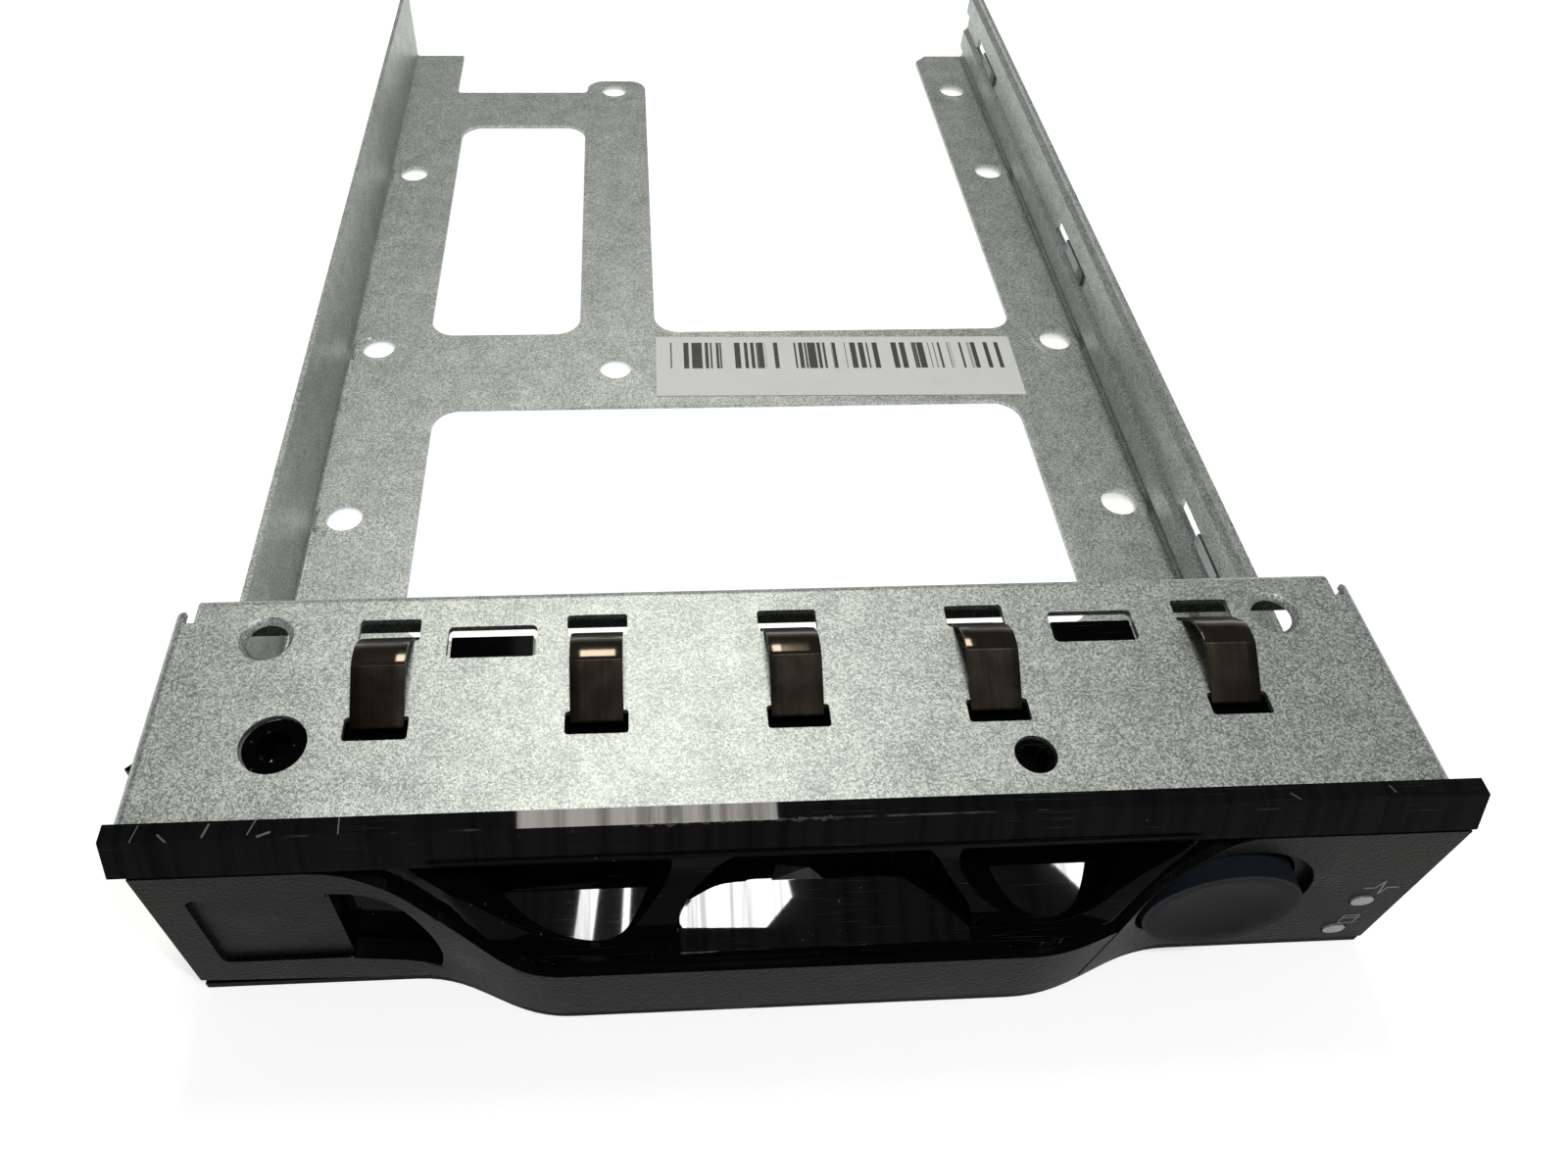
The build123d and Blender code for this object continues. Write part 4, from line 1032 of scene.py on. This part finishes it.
@dataclass
class MouldedFront:
    """Fascia, a dark shelf put under the bracket as painted shade, lever, right panel, button, latch, their
    pins and the pictograms.
    """

    bench: Bench
    gloss_edge: float = 0.2
    panel_edge: float = 0.35
    panel_steps: int = 3
    latch_edge: float = 0.25
    rim_rear: float = -5.45
    floor_levels: Span = (9.9, 10.3)
    floor_end: float = 1.0
    floor_lift: float = 0.319
    floor_draw: float = 0.211
    tongue_ends: Span = (15.0, 17.0)
    tongue_foot: float = 22.0
    tongue_growth: float = 0.85
    bearing_corner: Span = (-3.2, 24.0)
    bearing_setback: float = 0.127
    touch: float = 0.02
    shelf_box: tuple[float, ...] = (-42.4, 43.0, -0.9, 13.2, 21.0, 22.4)
    shelf_wall: float = 1.2
    shelf_draft: float = 0.1
    shelf_hollow: float = 0.6
    shelf_edge: float = 0.2
    panel_face_y: float = -94.02
    print_lift: float = 0.01
    print_thickness: float = 0.04
    pulse_width: float = 0.13
    pulse: tuple[tuple[float, ...], ...] = (
        (49.8, 11.6, 50.7, 11.6), (50.7, 11.6, 51.1, 12.9), (51.1, 12.9, 51.5, 10.4),
        (51.5, 10.4, 51.8, 11.6), (51.8, 11.6, 52.8, 11.6))
    disk_width: float = 0.1
    disk: tuple[tuple[float, ...], ...] = (
        (50.5, 4.4, 50.5, 6.0), (51.9, 4.4, 51.9, 6.0), (50.5, 6.0, 51.9, 6.0),
        (50.5, 4.4, 51.9, 4.4), (50.5, 5.5, 51.9, 5.5))

    def build(self) -> None:
        """Softens and dresses the mouldings, adds the dark shelf that stands in for shade under the bracket,
        and prints the two pictograms.
        """
        gloss = GlossBlack().make()
        grained = GrainedBlack().make()
        self.bench.soften("fascia", "fascia_moulding", gloss, Body.CARRIER, Slot.GLOSS, self.gloss_edge,
                          shape=self.shape_fascia)
        self.shelf(grained)
        self.bench.soften("ejector_lever", "lever_moulding", grained, Body.LEVER, Slot.GRAIN,
                          self.panel_edge, self.panel_steps)
        self.bench.soften("right_panel", "right_panel_moulding", grained, Body.CARRIER, Slot.GRAIN,
                          self.panel_edge, self.panel_steps)
        self.bench.soften("release_button", "button_moulding", ButtonSatin().make(), Body.BUTTON,
                          Slot.BUTTON, self.panel_edge, self.panel_steps)
        self.bench.soften("latch", "latch_moulding", LatchBlack().make(), Body.LATCH, Slot.LATCH,
                          self.latch_edge)
        self.bench.dress("lever_hinge_pin", BrightSteel("hinge pin steel").make())
        self.bench.dress("latch_pin", BrightSteel("latch pin steel").make())
        ink = PrintWhite().make()
        face_y = self.panel_face_y - self.print_lift
        for name, lines, width in (("pulse_mark", self.pulse, self.pulse_width),
                                   ("disk_mark", self.disk, self.disk_width)):
            self.bench.strokes(name, lines, width, self.print_thickness, face_y, ink)

    def shelf(self, material: bpy.types.Material) -> None:
        """Makes a dark shelf under the bracket, hollowed from below, that blacks out the view through the
        slots: painted shade.

        Args:
            material: Its finish.
        """
        # A dark piece put under the bracket where the slots look black: painted shade.
        x0, x1, y0, y1, z0, z1 = self.shelf_box
        middle = ((x0 + x1) / 2 * MM, station((y0 + y1) / 2) * MM, (z0 + z1) / 2 * MM)
        self.bench.clear()
        bpy.ops.mesh.primitive_cube_add(size=1.0)
        piece = bpy.context.object
        piece.name = "painted_shade_shelf"
        bpy.ops.object.mode_set(mode="EDIT")
        bpy.ops.transform.resize(value=((x1 - x0) * MM, (y1 - y0) * MM, (z1 - z0) * MM))
        bpy.ops.transform.translate(value=middle)
        bpy.ops.object.mode_set(mode="OBJECT")
        for face in piece.data.polygons:
            face.select = face.normal.z < -0.5
        for part in (*piece.data.edges, *piece.data.vertices):
            part.select = False
        bpy.ops.object.mode_set(mode="EDIT")
        bpy.ops.mesh.select_mode(type="FACE")
        bpy.ops.mesh.inset(thickness=self.shelf_wall * MM, depth=0.0)
        bpy.ops.mesh.inset(thickness=self.shelf_draft * MM, depth=-self.shelf_hollow * MM)
        bpy.ops.object.mode_set(mode="OBJECT")
        rounding = piece.modifiers.new("shelf edges", "BEVEL")
        rounding.width = self.shelf_edge * MM
        rounding.segments = 2
        bpy.ops.object.modifier_apply(modifier=rounding.name)
        self.bench.flatten(piece)
        piece.data.materials.append(material)
        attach(piece, Body.CARRIER.value)
        LOG.info("%s: %d faces", piece.name, len(piece.data.polygons))

    def shape_fascia(self, piece: bpy.types.Object) -> None:
        """Slopes the scoops' floors up, lengthens the tongues and sets the bearing plate back.

        Args:
            piece: The merged copy.
        """
        scoop_front, floor_end = station(self.rim_rear), station(self.floor_end)
        front, rear = (station(end) for end in self.tongue_ends)
        bearing_y, bearing_z = station(self.bearing_corner[0]), self.bearing_corner[1]
        bpy.ops.object.mode_set(mode="EDIT")
        bpy.ops.mesh.select_all(action="SELECT")
        bpy.ops.mesh.bisect(plane_co=(0.0, scoop_front * MM, 0.0), plane_no=(0.0, 1.0, 0.0))
        bpy.ops.object.mode_set(mode="OBJECT")
        for vertex in piece.data.vertices:
            _, y, z = (value / MM for value in vertex.co)
            behind = y - scoop_front
            on_floor = min(abs(z - level) for level in self.floor_levels) < self.touch
            if behind > 0.0 and y < floor_end and on_floor:
                vertex.co.z += behind * self.floor_lift * MM
                vertex.co.y -= behind * self.floor_draw * MM
            elif front < y < rear and z > self.tongue_foot:
                vertex.co.y += self.tongue_growth * MM
            elif abs(y - bearing_y) < self.touch and abs(z - bearing_z) < self.touch:
                vertex.co.y += self.bearing_setback * MM


@dataclass
class SmallParts:
    """Light pipe and label."""

    bench: Bench
    pipe_edge: float = 0.12

    def build(self) -> None:
        """Softens the light pipe and dresses the label."""
        self.bench.soften("light_pipe", "light_pipe_moulding", ClearPipe().make(), Body.CARRIER, Slot.CLEAR,
                          self.pipe_edge)
        self.bench.dress("id_label", LabelPaper().make())


@dataclass(frozen=True)
class Lamp:
    """A rectangular area lamp: its place and size in metres and its power in watts."""

    name: str
    place: Point
    size: Span
    power: float
    colour: Colour = (1.0, 1.0, 1.0)

    def hang(self, aim: Point) -> None:
        """Adds the lamp to the scene.

        Args:
            aim: The point that it looks at.
        """
        light = bpy.data.lights.new(self.name, "AREA")
        light.shape = "RECTANGLE"
        light.size, light.size_y = self.size
        light.energy = self.power
        light.color = self.colour
        lamp = bpy.data.objects.new(self.name, light)
        bpy.context.scene.collection.objects.link(lamp)
        lamp.location = self.place
        toward = Vector(aim) - Vector(self.place)
        lamp.rotation_euler = toward.to_track_quat("-Z", "Y").to_euler()


@dataclass
class Studio:
    """Pale floor, soft lamps and the camera."""

    floor_size: float = 8.0
    floor_tone: Colour = (0.8, 0.8, 0.8)
    floor_roughness: float = 0.9
    floor_shine: float = 0.1
    white: Colour = (1.0, 1.0, 1.0)
    glow: float = 0.4
    glow_reach: Span = (0.35, 1.3)
    horizon: float = 0.6
    zenith: float = 0.16
    sky_heights: Span = (0.12, 0.5)
    aim: Point = (0.0, -0.03, 0.01)
    lamps: tuple[Lamp, ...] = (
        Lamp("rear softbox", (-0.01, 0.40, 0.82), (0.22, 0.3), 2.6, (1.0, 0.95, 0.88)),
        Lamp("overhead window", (0.068, -0.40, 0.95), (0.088, 0.2), 2.9),
        Lamp("overhead left tube", (-0.059, -0.40, 0.95), (0.016, 0.2), 0.5),
        Lamp("overhead slit", (-0.027, -0.40, 0.95), (0.006, 0.2), 0.19),
        Lamp("right window", (0.40, -0.40, 0.95), (0.07, 0.24), 2.6))
    camera_place: Point = (-0.01244, -0.13569, 0.10669)
    camera_right: Point = (0.9982, -0.0529, 0.0276)
    camera_up: Point = (0.0209, 0.7438, 0.6681)
    camera_back: Point = (-0.0559, -0.6663, 0.7436)
    sensor: float = 36.0
    lens: float = 27.02
    shift: Span = (0.0514, -0.0385)
    near_clip: float = 0.002

    def build(self) -> None:
        """Makes floor, world, lamps and camera."""
        self.floor()
        self.world()
        for lamp in self.lamps:
            lamp.hang(self.aim)
        self.camera()

    def floor(self) -> None:
        """Makes a pale floor that keeps the shadow and glows, more with distance, for rays that see it."""
        bpy.ops.mesh.primitive_plane_add(size=self.floor_size, location=(0.0, 0.0, 0.0))
        ground = bpy.context.object
        ground.name = "studio_floor"
        g = Graph("studio floor")
        away = g.node("ShaderNodeVectorMath", {"operation": "LENGTH"}, {0: g.position}, "Value")
        seen = g.ray_is("Camera", "Glossy", "Transmission")
        near, far = self.glow_reach
        level = g.node("ShaderNodeMapRange", {}, {
            "Value": away, "From Min": near, "From Max": far, "To Min": self.glow, "To Max": 1.0})
        g.set(Base__Color=self.floor_tone, Roughness=self.floor_roughness,
              Specular__IOR__Level=self.floor_shine, Emission__Color=self.white,
              Emission__Strength=seen * level)
        ground.data.materials.append(g.material)

    def world(self) -> None:
        """Makes a world that is white where the camera sees it, pale at the horizon and dim overhead."""
        world = bpy.data.worlds.new("studio world")
        bpy.context.scene.world = world
        world.use_nodes = True
        g = Nodes(world.node_tree)
        height = g.axis(g.node("ShaderNodeTexCoord", {}, {}, "Generated"), "Z")
        low, high = self.sky_heights
        level = g.node("ShaderNodeMapRange", {"interpolation_type": "SMOOTHSTEP"}, {
            "Value": height, "From Min": low, "From Max": high,
            "To Min": self.horizon, "To Max": self.zenith})
        background = world.node_tree.nodes["Background"]
        g.feed(background.inputs["Color"], self.white)
        g.feed(background.inputs["Strength"], level.maths("MAXIMUM", g.ray_is("Camera")))

    def camera(self) -> None:
        """Sets the camera at the photograph's place and angle."""
        data = bpy.data.cameras.new("photo camera")
        data.sensor_fit = "HORIZONTAL"
        data.sensor_width = self.sensor
        data.lens = self.lens
        data.shift_x, data.shift_y = self.shift
        data.clip_start = self.near_clip
        camera = bpy.data.objects.new("photo camera", data)
        bpy.context.scene.collection.objects.link(camera)
        axes = Matrix((self.camera_right, self.camera_up, self.camera_back)).transposed().to_4x4()
        camera.matrix_world = Matrix.Translation(self.camera_place) @ axes
        bpy.context.scene.camera = camera
        bpy.context.scene.view_settings.view_transform = "Standard"


def main() -> None:
    """Loads the frame, builds every assembly and the studio."""
    logging.basicConfig(level=logging.INFO, format="%(name)s %(message)s")
    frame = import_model()
    bench = Bench(frame)
    bench.clear()
    for assembly in (SheetWork(bench), SpringStrips(bench), MouldedFront(bench), SmallParts(bench)):
        assembly.build()
    Studio().build()


if __name__ == "__main__":
    main()
